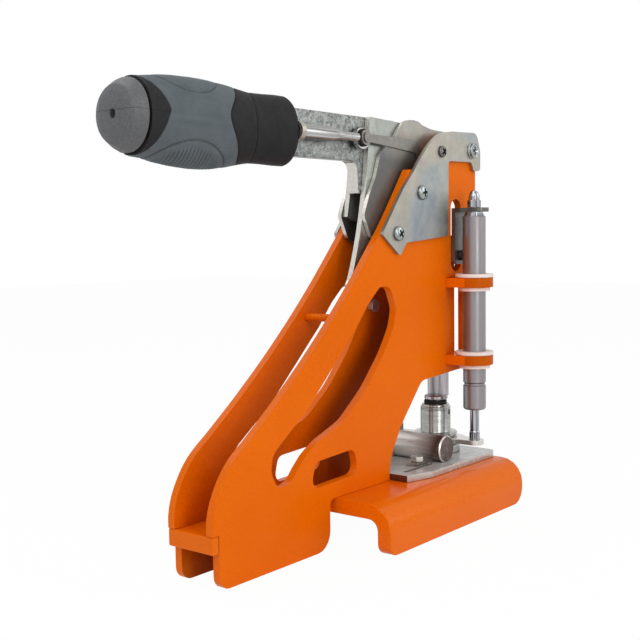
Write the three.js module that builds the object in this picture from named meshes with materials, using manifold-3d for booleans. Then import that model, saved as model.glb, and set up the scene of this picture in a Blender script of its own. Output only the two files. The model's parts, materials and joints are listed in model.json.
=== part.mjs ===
// Hand press for setting grommets, in millimetres, +Z up.
// X runs along the press, the grip points to -X and the tools are at +X. Y runs across it.
// Heights are measured from the table. While the press is laid out, X = 0 is the ram axis;
// the last lines shift the whole press so that its origin is under the middle of its box.
import * as THREE from 'three';
import { mergeVertices } from 'three/addons/utils/BufferGeometryUtils.js';
import Module from 'manifold-3d';

const wasm = await Module();
wasm.setup();

// Driving dimensions
const fit = 0.3;
const overrun = 5;
const sidePlate = { thickness: 6, gap: 30, front: 302, rear: 33.6, height: 318, toeStep: 6 };
const base = { length: 200, rear: 30, width: 140, height: 37.3, plate: 12, bend: 20, frontRound: 9, endRound: 14 };
const throat = { depth: 101, roof: 115.5 };
const guide = { thickness: 8, halfWidth: 16, upper: 188, lower: 122 };
const column = { spacing: 79.4, radius: 9.7, bore: 7.2, bottom: 82.8, joint: 106, top: 248.3 };
const pivot = { x: 23, depth: 13, radius: 6 };
const crank = { radius: 28.75, swingDegrees: 75, pinRadius: 5, play: 0.75 };
const grip = { end: 358.5, front: 200, radius: 28, drop: 17.2 };
const leverArm = { height: 34.5, thickness: 10, rise: 20.5, corner: 4, bend: 9 };

// Sizes of the single pieces
const tieRod = { radius: 3, alongShare: 0.525, heightShare: 0.538 };
const plateScrew = { radius: 2.9, head: 5.6, height: 5, alongShare: 0.2485, heightShare: 0.5503 };
const bush = { wall: 2.6, upperFlange: 16.2, lowerFlange: 13.3, flange: 3 };
const ramBlock = { length: 20, width: 27.4, bottom: 119, top: 232 };
const tongue = { front: 27, rear: 8, width: 9, rim: 8.5 };
const neck = { length: 11, width: 15, bottom: 92 };
const collar = { radius: 10.3, offset: 1, bottom: 88 };
const shank = { radius: 7, bottom: 70 };
const boss = { radius: 6.5, z: 215 };
const toolHolder = { radius: 13.3, bottom: 60, top: 84.5, lip: 1.2, screwHole: 2.4, screwZ: 77.5, screwTurn: 8 };
const toolFlange = { radius: 19, thickness: 2.6 };
const sealRing = { inner: 7.4, outer: 10, height: 2.6 };
const upperDie = { radius: 8.6, rim: 6.2, bottom: 52.3, shank: 5.5, shankTop: 66 };
const diePlate = { front: 100.5, halfWidth: 44.5, thickness: 5.2, taper: 26, taperDepth: 7, corner: 8 };
const dieSlot = { width: 4, y: 27.6, front: 88, rear: 52 };
const barScrew = { x: 60, y: 20, flats: 10, height: 4, shank: 2.9, depth: 15 };
const lowerDie = { radius: 21.5, step: 7.4, crown: 12, top: 52, dimple: 3.4 };
const stopBar = { radius: 11.4, x: 37.5, halfLength: 35, flat: 1, footLength: 31, footWidth: 11, footHeight: 2.4 };
const stripper = { hub: 21, hole: 9.4, pad: 7.6, neckHalf: 8.6, neckY: 27, bottom: 52.4, thickness: 4 };
const plunger = { radius: 4, head: 6.7, headBottom: 146, headTop: 152, knurl: 4.5, knurlTop: 64 };
const spring = { wire: 1.3, coil: 5.1, turns: 11, sides: 5, steps: 8 };
const gland = { bore: 4.4, plug: 6.9, plugTop: 120, round: 2.2, groove: 0.9 };
const stud = { radius: 3, neck: 8.4, neckHeight: 3.1, plug: 10, top: 263 };
const bracket = { thickness: 3.5, width: 16, x: 1, bottom: 207.5, lugReach: 11.6 };
const bracketScrew = { radius: 2.5, head: 4.5, headHeight: 3, depth: 6 };
const acornNut = { flats: 10, hexHeight: 6, domeRadius: 4.7, height: 14.6, bore: 3.3 };
const cover = { thickness: 3, rear: 37, rise: 3 };
const cheek = { thickness: 3.2, inner: 9.9 };
const spacerBoss = { radius: 5.4 };
const coverScrew = { radius: 2.9, head: 6, headHeight: 3.5 };
const pivotHead = { radius: 5, height: 3, washer: 8 };
const web = { thickness: 4.3, inner: 5.3, hub: 15, crankBoss: 12, topGap: 2, heel: 8, sole: 6, waist: 12, hip: 28,
  hipDrop: 26, round: 14, smallRound: 8, bossRound: 10, waistRound: 16 };
const tang = { end: 335, leg: 118.2, head: 64, footDepth: 25.5, footLength: 24, footCorner: 2 };
const webTail = { depth: 97, shortDepth: 47, slant: 21, width: 11, shortStart: 12, corner: 2 };
const eyeRod = { radius: 5.4, y: 10.8, drop: 17.1, neck: 159, taper: 14, neckRadius: 3.4, eyeX: 118.6 };
const rodEye = { radius: 8.8, inner: 7.2, thickness: 3.9, hole: 3.8 };
const rodCollar = { radius: 7.3, thickness: 4.6, bore: 5.8 };
const rubberRing = { outer: 6.9, inner: 3.8, thickness: 1.7 };
const linkBar = { thickness: 1.3, end: 47, eye: 6, frontHeight: 6, rearHeight: 10.4, drop: 3, bend: 7, tip: 5.5,
  round: 6 };
const eyePin = { radius: 3.4, head: 4, headHeight: 0.8 };
const gripJoints = { cap: 341, body: 238 };
const gripDimple = { radius: 3, depth: 4 };

// Places worked out from the driving dimensions
const plateInner = sidePlate.gap / 2;
const plateOuter = plateInner + sidePlate.thickness;
const baseTop = base.height;
const baseFront = base.length - base.rear;
const columnY = column.spacing / 2;
const pivotZ = sidePlate.height - pivot.depth;
const armTop = pivotZ + leverArm.rise;
const armBottom = armTop - leverArm.height;
const gripAxis = armTop - grip.drop;
const eyeZ = armTop - eyeRod.drop;
const halfSwing = THREE.MathUtils.degToRad(crank.swingDegrees / 2);
const crankX = pivot.x - crank.radius * Math.cos(halfSwing);
const crankZ = pivotZ - crank.radius * Math.sin(halfSwing);
const ramTravel = 2 * crank.radius * Math.sin(halfSwing);
const coverInner = plateOuter + fit;
const coverOuter = coverInner + cover.thickness;
const cheekOuter = cheek.inner + cheek.thickness;
const webOuter = web.inner + web.thickness;
const sides = [[-1, 'near'], [1, 'far']];
const roundSteps = 24;

// Finishes
const finish = (color, roughness, metalness) => new THREE.MeshStandardMaterial({ color, roughness, metalness });
const orangePaint = () => finish(0xec6a10, 0.5, 0.0);
const zincPlate = () => finish(0xa9a99f, 0.35, 0.85);
const galvanised = () => finish(0xb2b6b4, 0.4, 0.85);
const steel = () => finish(0x9a9a98, 0.3, 0.9);
const anodised = () => finish(0x9c9ca0, 0.45, 0.7);
const chrome = () => finish(0xc8c8c8, 0.15, 1.0);
const nylon = () => finish(0xf0ece4, 0.55, 0.0);
const blackRubber = () => finish(0x262626, 0.7, 0.0);
const greyRubber = () => finish(0x6a7276, 0.75, 0.0);

// Solids: every geometry below is closed, and these join or cut them
function toSolid(geometry) {
  const bare = geometry.clone();
  bare.deleteAttribute('normal');
  bare.deleteAttribute('uv');
  const merged = mergeVertices(bare, 1e-4);
  const index = merged.index.array;
  const kept = [];
  for (let i = 0; i < index.length; i += 3) {
    const [a, b, c] = [index[i], index[i + 1], index[i + 2]];
    if (a !== b && b !== c && c !== a) kept.push(a, b, c);
  }
  const mesh = new wasm.Mesh({
    numProp: 3,
    vertProperties: new Float32Array(merged.attributes.position.array),
    triVerts: new Uint32Array(kept),
  });
  return new wasm.Manifold(mesh);
}

function toGeometry(solid) {
  const mesh = solid.getMesh();
  const geometry = new THREE.BufferGeometry();
  geometry.setAttribute('position', new THREE.BufferAttribute(new Float32Array(mesh.vertProperties), 3));
  geometry.setIndex(new THREE.BufferAttribute(new Uint32Array(mesh.triVerts), 1));
  return geometry;
}

function join(first, ...others) {
  return toGeometry(others.reduce((solid, other) => solid.add(toSolid(other)), toSolid(first)));
}

function cut(first, ...others) {
  return toGeometry(others.reduce((solid, other) => solid.subtract(toSolid(other)), toSolid(first)));
}

function smooth(points, steps = 3) {
  const curve = new THREE.SplineCurve(points.map(([x, y]) => new THREE.Vector2(x, y)));
  return curve.getPoints(steps * (points.length - 1)).map((point) => [point.x, point.y]);
}

// Outlines: corners are [x, y] or [x, y, radius], and a radius makes the corner an arc
function outline(corners) {
  const points = [];
  corners.forEach(([x, y, radius = 0], i) => {
    const corner = new THREE.Vector2(x, y);
    if (radius === 0) {
      points.push(corner);
      return;
    }
    const before = corners[(i + corners.length - 1) % corners.length];
    const after = corners[(i + 1) % corners.length];
    const toBefore = new THREE.Vector2(before[0] - x, before[1] - y).normalize();
    const toAfter = new THREE.Vector2(after[0] - x, after[1] - y).normalize();
    const half = Math.acos(THREE.MathUtils.clamp(toBefore.dot(toAfter), -1, 1)) / 2;
    const reach = radius / Math.tan(half);
    const middle = toBefore.clone().add(toAfter).normalize().multiplyScalar(radius / Math.sin(half)).add(corner);
    const start = toBefore.multiplyScalar(reach).add(corner).sub(middle);
    const end = toAfter.multiplyScalar(reach).add(corner).sub(middle);
    const turn = Math.atan2(start.x * end.y - start.y * end.x, start.dot(end));
    const steps = Math.max(2, Math.ceil(Math.abs(turn) / (Math.PI / 10)));
    for (let step = 0; step <= steps; step += 1) {
      points.push(start.clone().rotateAround(new THREE.Vector2(), (turn * step) / steps).add(middle));
    }
  });
  return points;
}

function circle(x, y, radius, steps = roundSteps) {
  return Array.from({ length: steps }, (_, i) => {
    const angle = (2 * Math.PI * i) / steps;
    return new THREE.Vector2(x + radius * Math.cos(angle), y + radius * Math.sin(angle));
  });
}

function slot(x0, y0, x1, y1, radius) {
  const along = new THREE.Vector2(x1 - x0, y1 - y0).normalize();
  const start = Math.atan2(along.y, along.x) - Math.PI / 2;
  const points = [];
  for (const [x, y, turn] of [[x1, y1, 0], [x0, y0, Math.PI]]) {
    for (let step = 0; step <= roundSteps / 2; step += 1) {
      const angle = start + turn + (2 * Math.PI * step) / roundSteps;
      points.push(new THREE.Vector2(x + radius * Math.cos(angle), y + radius * Math.sin(angle)));
    }
  }
  return points;
}

function extruded(points, holes, depth) {
  const shape = new THREE.Shape(points);
  shape.holes = holes.map((hole) => new THREE.Path(hole));
  return new THREE.ExtrudeGeometry(shape, { depth, bevelEnabled: false });
}

// A plate drawn in X and Z, lying between two values of Y
function plateXZ(points, holes, y0, y1) {
  const geometry = extruded(points, holes, Math.abs(y1 - y0));
  geometry.rotateX(Math.PI / 2);
  geometry.translate(0, Math.max(y0, y1), 0);
  return geometry;
}

// A plate drawn in X and Y, lying between two values of Z
function plateXY(points, holes, z0, z1) {
  const geometry = extruded(points, holes, z1 - z0);
  geometry.translate(0, 0, z0);
  return geometry;
}

// A bar with its section drawn in Y and Z, running between two values of X
function barX(points, holes, x0, x1) {
  const geometry = extruded(points, holes, x1 - x0);
  const turned = new THREE.Matrix4().makeBasis(
    new THREE.Vector3(0, 1, 0), new THREE.Vector3(0, 0, 1), new THREE.Vector3(1, 0, 0));
  geometry.applyMatrix4(turned);
  geometry.translate(x0, 0, 0);
  return geometry;
}

function box(x0, x1, y0, y1, z0, z1) {
  const geometry = new THREE.BoxGeometry(x1 - x0, y1 - y0, z1 - z0);
  geometry.translate((x0 + x1) / 2, (y0 + y1) / 2, (z0 + z1) / 2);
  return geometry;
}

// Turned pieces: the profile is [radius, height] points, closed or from axis to axis
function turnedZ(profile, x = 0, y = 0, steps = roundSteps) {
  const points = profile.map(([radius, height]) => new THREE.Vector2(radius, height));
  const onAxis = profile[0][0] === 0;
  if (!onAxis) points.push(points[0].clone());
  const area = points.reduce((sum, p, i) => {
    const q = points[(i + 1) % points.length];
    return sum + p.x * q.y - q.x * p.y;
  }, 0);
  if (area < 0) points.reverse();
  const geometry = new THREE.LatheGeometry(points, steps);
  geometry.rotateX(Math.PI / 2);
  geometry.translate(x, y, 0);
  return geometry;
}

function turnedX(profile, y, z, steps = roundSteps) {
  const geometry = turnedZ(profile, 0, 0, steps);
  geometry.rotateY(Math.PI / 2);
  geometry.translate(0, y, z);
  return geometry;
}

// The profile's heights run outwards along Y on the given side
function turnedY(profile, side, x, z, steps = roundSteps) {
  const geometry = turnedZ(profile, 0, 0, steps);
  geometry.rotateX(side < 0 ? Math.PI / 2 : -Math.PI / 2);
  geometry.translate(x, 0, z);
  return geometry;
}

const rod = (radius, start, end) => [[0, start], [radius, start], [radius, end], [0, end]];
const ring = (inner, outer, start, end) => [[inner, start], [outer, start], [outer, end], [inner, end]];

const frameGroup = new THREE.Group();
const leverGroup = new THREE.Group();
const ramGroup = new THREE.Group();
const stripperGroup = new THREE.Group();

function add(group, name, geometry, material) {
  const mesh = new THREE.Mesh(geometry, material);
  mesh.name = name;
  group.add(mesh);
}

const along = (share) => -share * sidePlate.front;
const up = (share) => share * sidePlate.height;
const onFrame = (shares) => shares.map(([x, z, radius = 0]) => [along(x), up(z), radius * sidePlate.front]);

// Side plates: laser-cut, alike on both sides
const frontEdgeShares = [[1, 0.142], [0.995, 0.167], [0.9855, 0.192], [0.9725, 0.215], [0.956, 0.2385],
  [0.934, 0.2615], [0.9055, 0.283], [0.8725, 0.3045], [0.776, 0.3727], [0.681, 0.4458], [0.5885, 0.5234],
  [0.499, 0.6054], [0.413, 0.6916], [0.332, 0.778], [0.2345, 0.8975]];
const headNotchShares = [[0.1358, 0.8975, 0.01], [0.1265, 0.935, 0.03], [0.104, 0.963, 0.03], [0.066, 0.985, 0.03],
  [0.03, 1, 0.02]];
const longSlotShares = [[0.8063, 0.2217, 0.03], [0.8, 0.258, 0.04], [0.7268, 0.3063, 0.2], [0.6815, 0.333, 0.1],
  [0.507, 0.484, 0.3], [0.477, 0.5094, 0.1], [0.424, 0.566, 0.15], [0.372, 0.606, 0.03], [0.325, 0.606, 0.03],
  [0.2975, 0.548, 0.04], [0.31, 0.504, 0.1], [0.351, 0.445, 0.3], [0.436, 0.36, 0.3], [0.53, 0.2956, 0.12],
  [0.63, 0.263, 0.1], [0.684, 0.239, 0.2], [0.735, 0.186, 0.04], [0.785, 0.178, 0.03]];
const smallSlotShares = [[0.645, 0.216, 0.022], [0.488, 0.223, 0.024], [0.474, 0.16, 0.024], [0.663, 0.154, 0.022]];
const headScrewShares = [[-0.0874, 0.949], [-0.1884, 0.8402], [-0.3023, 0.7362]];
const slotA = { bottom: boss.z - boss.radius - 1, width: 16.5 };
const windowB = { front: 15, rear: 14 };

const toeX = -(sidePlate.front - sidePlate.toeStep);
const plateSole = baseTop + fit;
const baseEdge = -(baseFront + fit);
const sideOutline = outline([
  [toeX, 0, sidePlate.toeStep * 1.5],
  [baseEdge - guide.thickness, 0, up(0.045)],
  [baseEdge - guide.thickness, plateSole - fit * 8],
  [baseEdge - guide.thickness / 2, plateSole],
  [-throat.depth, plateSole],
  [-throat.depth, throat.roof * 0.46, throat.roof * 0.3],
  [-throat.depth * 0.84, throat.roof * 0.68, throat.roof * 0.6],
  [-throat.depth * 0.53, throat.roof * 0.972, throat.roof * 0.1],
  [0, throat.roof],
  [sidePlate.rear, throat.roof * 1.012, sidePlate.thickness],
  [sidePlate.rear, sidePlate.height, sidePlate.thickness * 3],
  ...onFrame(headNotchShares).reverse(),
  ...smooth(onFrame(frontEdgeShares).reverse()),
  [-sidePlate.front, plateSole],
  [toeX, plateSole],
  [toeX, up(0.053)],
]);
const guideSlotHalf = guide.halfWidth + fit;
const guideWindow = [
  [-guideSlotHalf, guide.lower - fit], [guideSlotHalf, guide.lower - fit],
  [guideSlotHalf, guide.lower + guide.thickness + fit], [windowB.rear, guide.lower + guide.thickness + fit],
  [windowB.rear, guide.upper - fit], [guideSlotHalf, guide.upper - fit],
  [guideSlotHalf, guide.upper + guide.thickness + fit], [-guideSlotHalf, guide.upper + guide.thickness + fit],
  [-guideSlotHalf, guide.upper - fit], [-windowB.front, guide.upper - fit],
  [-windowB.front, guide.lower + guide.thickness + fit], [-guideSlotHalf, guide.lower + guide.thickness + fit],
];
const slotAHalf = slotA.width / 2;
const ramSlot = slot(bracket.x, slotA.bottom + slotAHalf - boss.radius, bracket.x,
  boss.z + ramTravel + overrun, slotAHalf);
const screwHoles = headScrewShares.map(([x, z]) => circle(x * sidePlate.front, up(z), coverScrew.radius + fit, 16));
const sideHoles = [
  outline(onFrame(longSlotShares)),
  outline(onFrame(smallSlotShares)),
  outline(guideWindow),
  ramSlot,
  circle(pivot.x, pivotZ, pivot.radius + fit),
  ...screwHoles,
];
const plateScrewPlace = [along(plateScrew.alongShare), up(plateScrew.heightShare)];
const plateScrewHole = circle(...plateScrewPlace, plateScrew.radius + fit, 16);
for (const [side, name] of sides) {
  const holes = side > 0 ? [...sideHoles, plateScrewHole] : sideHoles;
  add(frameGroup, `side_plate_${name}`,
    plateXZ(sideOutline, holes, side * plateInner, side * plateOuter), orangePaint());
}

// Base plate: bent down along both long edges, with a tail that reaches the toe of the frame
const halfBase = base.width / 2;
const innerBend = base.bend - base.plate;
const channelSection = outline([
  [-halfBase, 0], [-halfBase, baseTop, base.bend], [halfBase, baseTop, base.bend], [halfBase, 0],
  [halfBase - base.plate, 0], [halfBase - base.plate, baseTop - base.plate, innerBend],
  [-(halfBase - base.plate), baseTop - base.plate, innerBend], [-(halfBase - base.plate), 0],
]);
const channel = barX(channelSection, [], -baseFront, base.rear);
const tailHalf = plateInner - fit;
const tail = plateXY(outline([
  [-sidePlate.front, -plateOuter], [toeX - fit, -plateOuter], [toeX - fit, -tailHalf],
  [-baseFront + overrun, -tailHalf], [-baseFront + overrun, tailHalf],
  [toeX - fit, tailHalf], [toeX - fit, plateOuter], [-sidePlate.front, plateOuter],
]), [], baseTop - base.plate, baseTop);
const cornerRound = base.endRound;
const flangeEnd = (y0, y1) => plateXZ([
  ...outline([
    [base.rear + overrun, -overrun], [base.rear + overrun, cornerRound],
    [base.rear, cornerRound], [base.rear, 0, cornerRound - fit], [base.rear - cornerRound, 0],
    [base.rear - cornerRound, -overrun],
  ]),
], [], y0, y1);
const frontRound = (y0, y1) => plateXZ(outline([
  [-baseFront - overrun, -overrun], [-baseFront + base.frontRound, -overrun], [-baseFront + base.frontRound, 0],
  [-baseFront, 0, base.frontRound - fit], [-baseFront, base.frontRound], [-baseFront - overrun, base.frontRound],
]), [], y0, y1);
add(frameGroup, 'base_plate', cut(join(channel, tail),
  ...[flangeEnd, frontRound].flatMap((corner) => [
    corner(-halfBase - overrun, -halfBase + base.plate + overrun),
    corner(halfBase - base.plate - overrun, halfBase + overrun)])), orangePaint());

// Cross pieces between the side plates
const tieEnd = plateInner - fit;
add(frameGroup, 'tie_rod', turnedY([[0, -tieEnd], [tieRod.radius, -tieEnd], [tieRod.radius, tieEnd], [0, tieEnd]],
  1, along(tieRod.alongShare), up(tieRod.heightShare), 16), orangePaint());
const plateScrewHead = turnedY(rod(plateScrew.head, plateInner - fit - plateScrew.height, plateInner - fit),
  1, ...plateScrewPlace, 6);
add(frameGroup, 'plate_screw_far', join(plateScrewHead, turnedY(
  rod(plateScrew.radius, plateInner - fit - 1, plateOuter + 2), 1, ...plateScrewPlace, 16)), steel());

// Guide plates: round-ended lugs that cross both side plates and hold the nylon bushes
const bushOuter = column.radius + bush.wall + fit;
const ramWindow = (rear) => outline([
  [-ramBlock.length / 2 - fit, -ramBlock.width / 2 - fit], [rear + fit, -ramBlock.width / 2 - fit],
  [rear + fit, ramBlock.width / 2 + fit], [-ramBlock.length / 2 - fit, ramBlock.width / 2 + fit],
]);
const levels = [['upper', guide.upper, ramWindow(ramBlock.length / 2)],
  ['lower', guide.lower, ramWindow(collar.radius + collar.offset)]];
for (const [level, bottom, window] of levels) {
  const holes = [circle(0, -columnY, bushOuter + fit), circle(0, columnY, bushOuter + fit), window];
  add(frameGroup, `guide_plate_${level}`,
    plateXY(slot(0, -columnY, 0, columnY, guide.halfWidth), holes, bottom, bottom + guide.thickness), orangePaint());
  for (const [side, name] of sides) {
    const top = bottom + guide.thickness;
    const bore = column.radius + fit;
    add(frameGroup, `guide_bush_${level}_${name}`, turnedZ([
      [bore, bottom - fit - bush.flange], [bush.lowerFlange, bottom - fit - bush.flange],
      [bush.lowerFlange, bottom - fit], [bushOuter, bottom - fit], [bushOuter, top + fit],
      [bush.upperFlange, top + fit], [bush.upperFlange, top + fit + bush.flange],
      [bore, top + fit + bush.flange],
    ], 0, side * columnY), nylon());
  }
}

// Head: zinc-plated cheeks inside the side plates and covers outside them
const coverEdgeShares = [[0.318, 0.799], [0.276, 0.847], [0.223, 0.896], [0.199, 0.921], [0.1765, 0.941],
  [0.1517, 0.963], [0.1162, 0.985], [0.0854, 0.9975], [0.033, 1.005]];
const coverOutline = outline([
  [along(0.292), up(0.68), 3], [along(0.373), up(0.735), 3], ...smooth(onFrame(coverEdgeShares)),
  [cover.rear - 6, sidePlate.height + cover.rise, 8], [cover.rear, pivotZ, 6], [cover.rear, up(0.908), 3],
  [cover.rear - 12, up(0.9025), 4], [cover.rear - 13.5, up(0.9285), 5],
  [along(0.0513), up(0.9265), 3], [along(0.054), up(0.7286), 2], [along(0.263), up(0.713), 6],
]);
const cheekEdgeShares = [[0.2593, 0.979], [0.2477, 0.9947], [0.2212, 1.0167], [0.1877, 1.0267], [0.1487, 1.0258],
  [0.1288, 1.018]];
const cheekOutline = outline([
  [along(0.372), up(0.729), 4], [along(0.401), up(0.782), 6], [along(0.378), up(0.831)], [along(0.351), up(0.873), 6],
  [along(0.328), up(0.931), 10], [along(0.287), up(0.963), 6],
  ...smooth(onFrame(cheekEdgeShares)), [along(0.031), up(1.0), 12],
  [pivot.x + 12, up(0.985), 12], [pivot.x + 12, up(0.915), 12], [pivot.x - 8, up(0.905)],
  [along(0.12), up(0.875)], [along(0.19), up(0.775), 12], [along(0.32), up(0.7), 6],
]);
for (const [side, name] of sides) {
  const headHoles = [...screwHoles, circle(pivot.x, pivotZ, pivot.radius + fit)];
  add(frameGroup, `head_cover_${name}`,
    plateXZ(coverOutline, headHoles, side * coverInner, side * coverOuter), zincPlate());
  const bosses = headScrewShares.map(([x, z]) => turnedY(
    ring(coverScrew.radius + fit, spacerBoss.radius, cheekOuter - fit, plateInner - fit),
    side, x * sidePlate.front, up(z), 16));
  add(frameGroup, `head_cheek_${name}`,
    join(plateXZ(cheekOutline, headHoles, side * cheek.inner, side * cheekOuter), ...bosses), zincPlate());
  headScrewShares.forEach(([x, z], i) => {
    const face = coverOuter + fit;
    const profile = [[0, cheek.inner], [coverScrew.radius, cheek.inner], [coverScrew.radius, face],
      [coverScrew.head, face], [coverScrew.head, face + coverScrew.headHeight * 0.45],
      [coverScrew.head * 0.75, face + coverScrew.headHeight * 0.85], [0, face + coverScrew.headHeight]];
    const screw = turnedY(profile, side, x * sidePlate.front, up(z), 16);
    const recessHalf = coverScrew.head * 0.13;
    const recessReach = coverScrew.head * 0.5;
    const floor = face + coverScrew.headHeight * 0.45;
    const ceiling = face + coverScrew.headHeight + overrun;
    const [x0, z0] = [x * sidePlate.front, up(z)];
    const [y0, y1] = side < 0 ? [-ceiling, -floor] : [floor, ceiling];
    add(frameGroup, `cover_screw_${name}_${i + 1}`, cut(screw,
      box(x0 - recessHalf, x0 + recessHalf, y0, y1, z0 - recessReach, z0 + recessReach),
      box(x0 - recessReach, x0 + recessReach, y0, y1, z0 - recessHalf, z0 + recessHalf)), steel());
  });
}

// Pivot bolt across the head, with a nut on the far side
const boltFace = coverOuter + fit;
add(frameGroup, 'pivot_bolt', turnedY([
  [0, -boltFace - pivotHead.height], [pivotHead.radius * 1.3, -boltFace - pivotHead.height],
  [pivotHead.radius * 1.3, -boltFace - fit], [pivot.radius + 1.5, -boltFace], [pivot.radius, -boltFace],
  [pivot.radius, boltFace], [pivot.radius * 0.6, boltFace], [pivot.radius * 0.6, boltFace + pivotHead.height + 1.5],
  [0, boltFace + pivotHead.height + 1.5],
], 1, pivot.x, pivotZ), steel());
add(frameGroup, 'pivot_nut', cut(
  turnedY(rod(pivotHead.washer, boltFace + fit, boltFace + fit + pivotHead.height), 1, pivot.x, pivotZ, 6),
  turnedY(rod(pivot.radius * 0.6 + fit, boltFace - overrun, boltFace + pivotHead.height + overrun),
    1, pivot.x, pivotZ)), steel());

// Die plate on the base, its screws, the lower die and the bar that stops the cloth
const dieBottom = baseTop + fit;
const dieTop = dieBottom + diePlate.thickness;
const dieOutline = outline([
  [-diePlate.front, -diePlate.halfWidth + diePlate.taperDepth],
  [-diePlate.front + diePlate.taper, -diePlate.halfWidth, 4],
  [base.rear, -diePlate.halfWidth, diePlate.corner], [base.rear, diePlate.halfWidth, diePlate.corner],
  [-diePlate.front + diePlate.taper, diePlate.halfWidth, 4],
  [-diePlate.front, diePlate.halfWidth - diePlate.taperDepth],
]);
const dieSlots = [-1, 1].map((side) => slot(
  -dieSlot.front, side * dieSlot.y, -dieSlot.rear, side * dieSlot.y, dieSlot.width / 2));
const screwPlaces = [-1, 1].map((side) => [-barScrew.x, side * barScrew.y]);
const screwBottom = dieTop + stopBar.footHeight + fit - barScrew.depth;
const screwBores = screwPlaces.map(([x, y]) => turnedZ(
  rod(barScrew.shank + fit, screwBottom - fit, dieTop + stopBar.footHeight + overrun), x, y, 16));
add(frameGroup, 'die_plate', cut(plateXY(dieOutline, dieSlots, dieBottom, dieTop), ...screwBores), zincPlate());
const baseNode = frameGroup.children.find((mesh) => mesh.name === 'base_plate');
baseNode.geometry = cut(baseNode.geometry, ...screwBores);
const dieSeat = dieTop + fit;
add(frameGroup, 'lower_die', turnedZ([
  [0, dieSeat], [lowerDie.radius, dieSeat], [lowerDie.radius, dieSeat + lowerDie.step - 1],
  [lowerDie.radius - 1, dieSeat + lowerDie.step], [lowerDie.crown + 1, dieSeat + lowerDie.step],
  [lowerDie.crown, lowerDie.top],
  [upperDie.rim, lowerDie.top], [lowerDie.dimple, lowerDie.top - 2], [0, lowerDie.top - 2],
], 0, 0, 32), steel());
const barBottom = dieTop + fit;
const barAxis = barBottom + stopBar.radius - stopBar.flat;
const barRound = turnedY([
  [0, -stopBar.halfLength], [stopBar.radius - 1, -stopBar.halfLength], [stopBar.radius, -stopBar.halfLength + 1],
  [stopBar.radius, stopBar.halfLength - 1], [stopBar.radius - 1, stopBar.halfLength], [0, stopBar.halfLength],
], 1, -stopBar.x, barAxis, 32);
const barFeet = [-1, 1].map((side) => box(
  -stopBar.x - stopBar.footLength, -stopBar.x, side * barScrew.y - stopBar.footWidth / 2,
  side * barScrew.y + stopBar.footWidth / 2, barBottom, barBottom + stopBar.footHeight));
add(frameGroup, 'stop_bar', cut(join(barRound, ...barFeet), ...screwBores, box(
  -stopBar.x - stopBar.footLength - overrun, -stopBar.x + stopBar.radius + overrun,
  -stopBar.halfLength - overrun, stopBar.halfLength + overrun, barBottom - overrun, barBottom)), steel());
const screwSeat = barBottom + stopBar.footHeight + fit;
screwPlaces.forEach(([x, y], i) => {
  const corner = barScrew.flats / 2 / Math.cos(Math.PI / 6);
  const head = turnedZ(rod(corner, screwSeat, screwSeat + barScrew.height), x, y, 6);
  add(frameGroup, `bar_screw_${sides[i][1]}`, join(head,
    turnedZ(rod(barScrew.shank, screwBottom, screwSeat + 1), x, y, 16)), steel());
});

// Lever: a bent bar between two webs that turn on the pivot and carry the crank pin
const armHalf = leverArm.thickness / 2;
const footZ = armBottom - tang.footDepth;
const armOutline = outline([
  [-tang.end, armBottom, leverArm.corner], [-tang.leg, armBottom, leverArm.bend], [-tang.leg, footZ, tang.footCorner],
  [-tang.leg + tang.footLength, footZ, leverArm.corner], [-tang.head - web.sole, armBottom, web.sole],
  [-tang.head, armTop, leverArm.corner], [-tang.end, armTop, leverArm.corner],
]);
const eyePinHole = circle(-eyeRod.eyeX, eyeZ, eyePin.radius + fit, 16);
add(leverGroup, 'lever_arm', plateXZ(armOutline, [eyePinHole], -armHalf, armHalf), galvanised());
const webTailShares = [[-0.25, 0.155], [0.167, 0.577], [0.73, 0.938], [1, 1]];
const tailZ = armBottom - webTail.depth;
const shortTailZ = armBottom - webTail.shortDepth;
const webFrontPoints = smooth([
  [webTail.slant / 2 - tang.leg, armTop],
  ...webTailShares.map(([out, down]) => [-tang.leg - out * webTail.slant, armBottom - down * webTail.depth]),
]);
const webOutline = (foot, front) => outline([
  [-tang.head, armTop - web.topGap, web.smallRound], [pivot.x, pivotZ + web.hub, web.round],
  [pivot.x + web.hub, pivotZ, web.round], [pivot.x, pivotZ - web.hub, web.bossRound],
  [crankX + web.topGap, crankZ - web.crankBoss, web.bossRound],
  [crankX - web.crankBoss, crankZ - web.heel, web.smallRound],
  [-tang.head + web.waist, crankZ - web.sole, web.waistRound],
  [-tang.leg + web.hip, armBottom - web.hipDrop, web.round], ...foot, ...front,
]);
const webOutlines = {
  near: webOutline([[webTail.width - webTail.slant - tang.leg, tailZ, webTail.corner]],
    webFrontPoints.slice().reverse()),
  far: webOutline([[webTail.shortStart - tang.leg, shortTailZ, webTail.corner]],
    webFrontPoints.filter(([, z]) => z > shortTailZ).reverse()),
};
for (const [side, name] of sides) {
  const holes = [circle(pivot.x, pivotZ, pivot.radius + fit), circle(crankX, crankZ, crank.pinRadius + fit)];
  add(leverGroup, `lever_web_${name}`,
    plateXZ(webOutlines[name], holes, side * web.inner, side * webOuter), galvanised());
}
const pinEnd = webOuter;
add(leverGroup, 'crank_pin', turnedY([
  [0, -pinEnd], [crank.pinRadius, -pinEnd], [crank.pinRadius, pinEnd], [0, pinEnd]],
  1, crankX, crankZ), steel());

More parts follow.
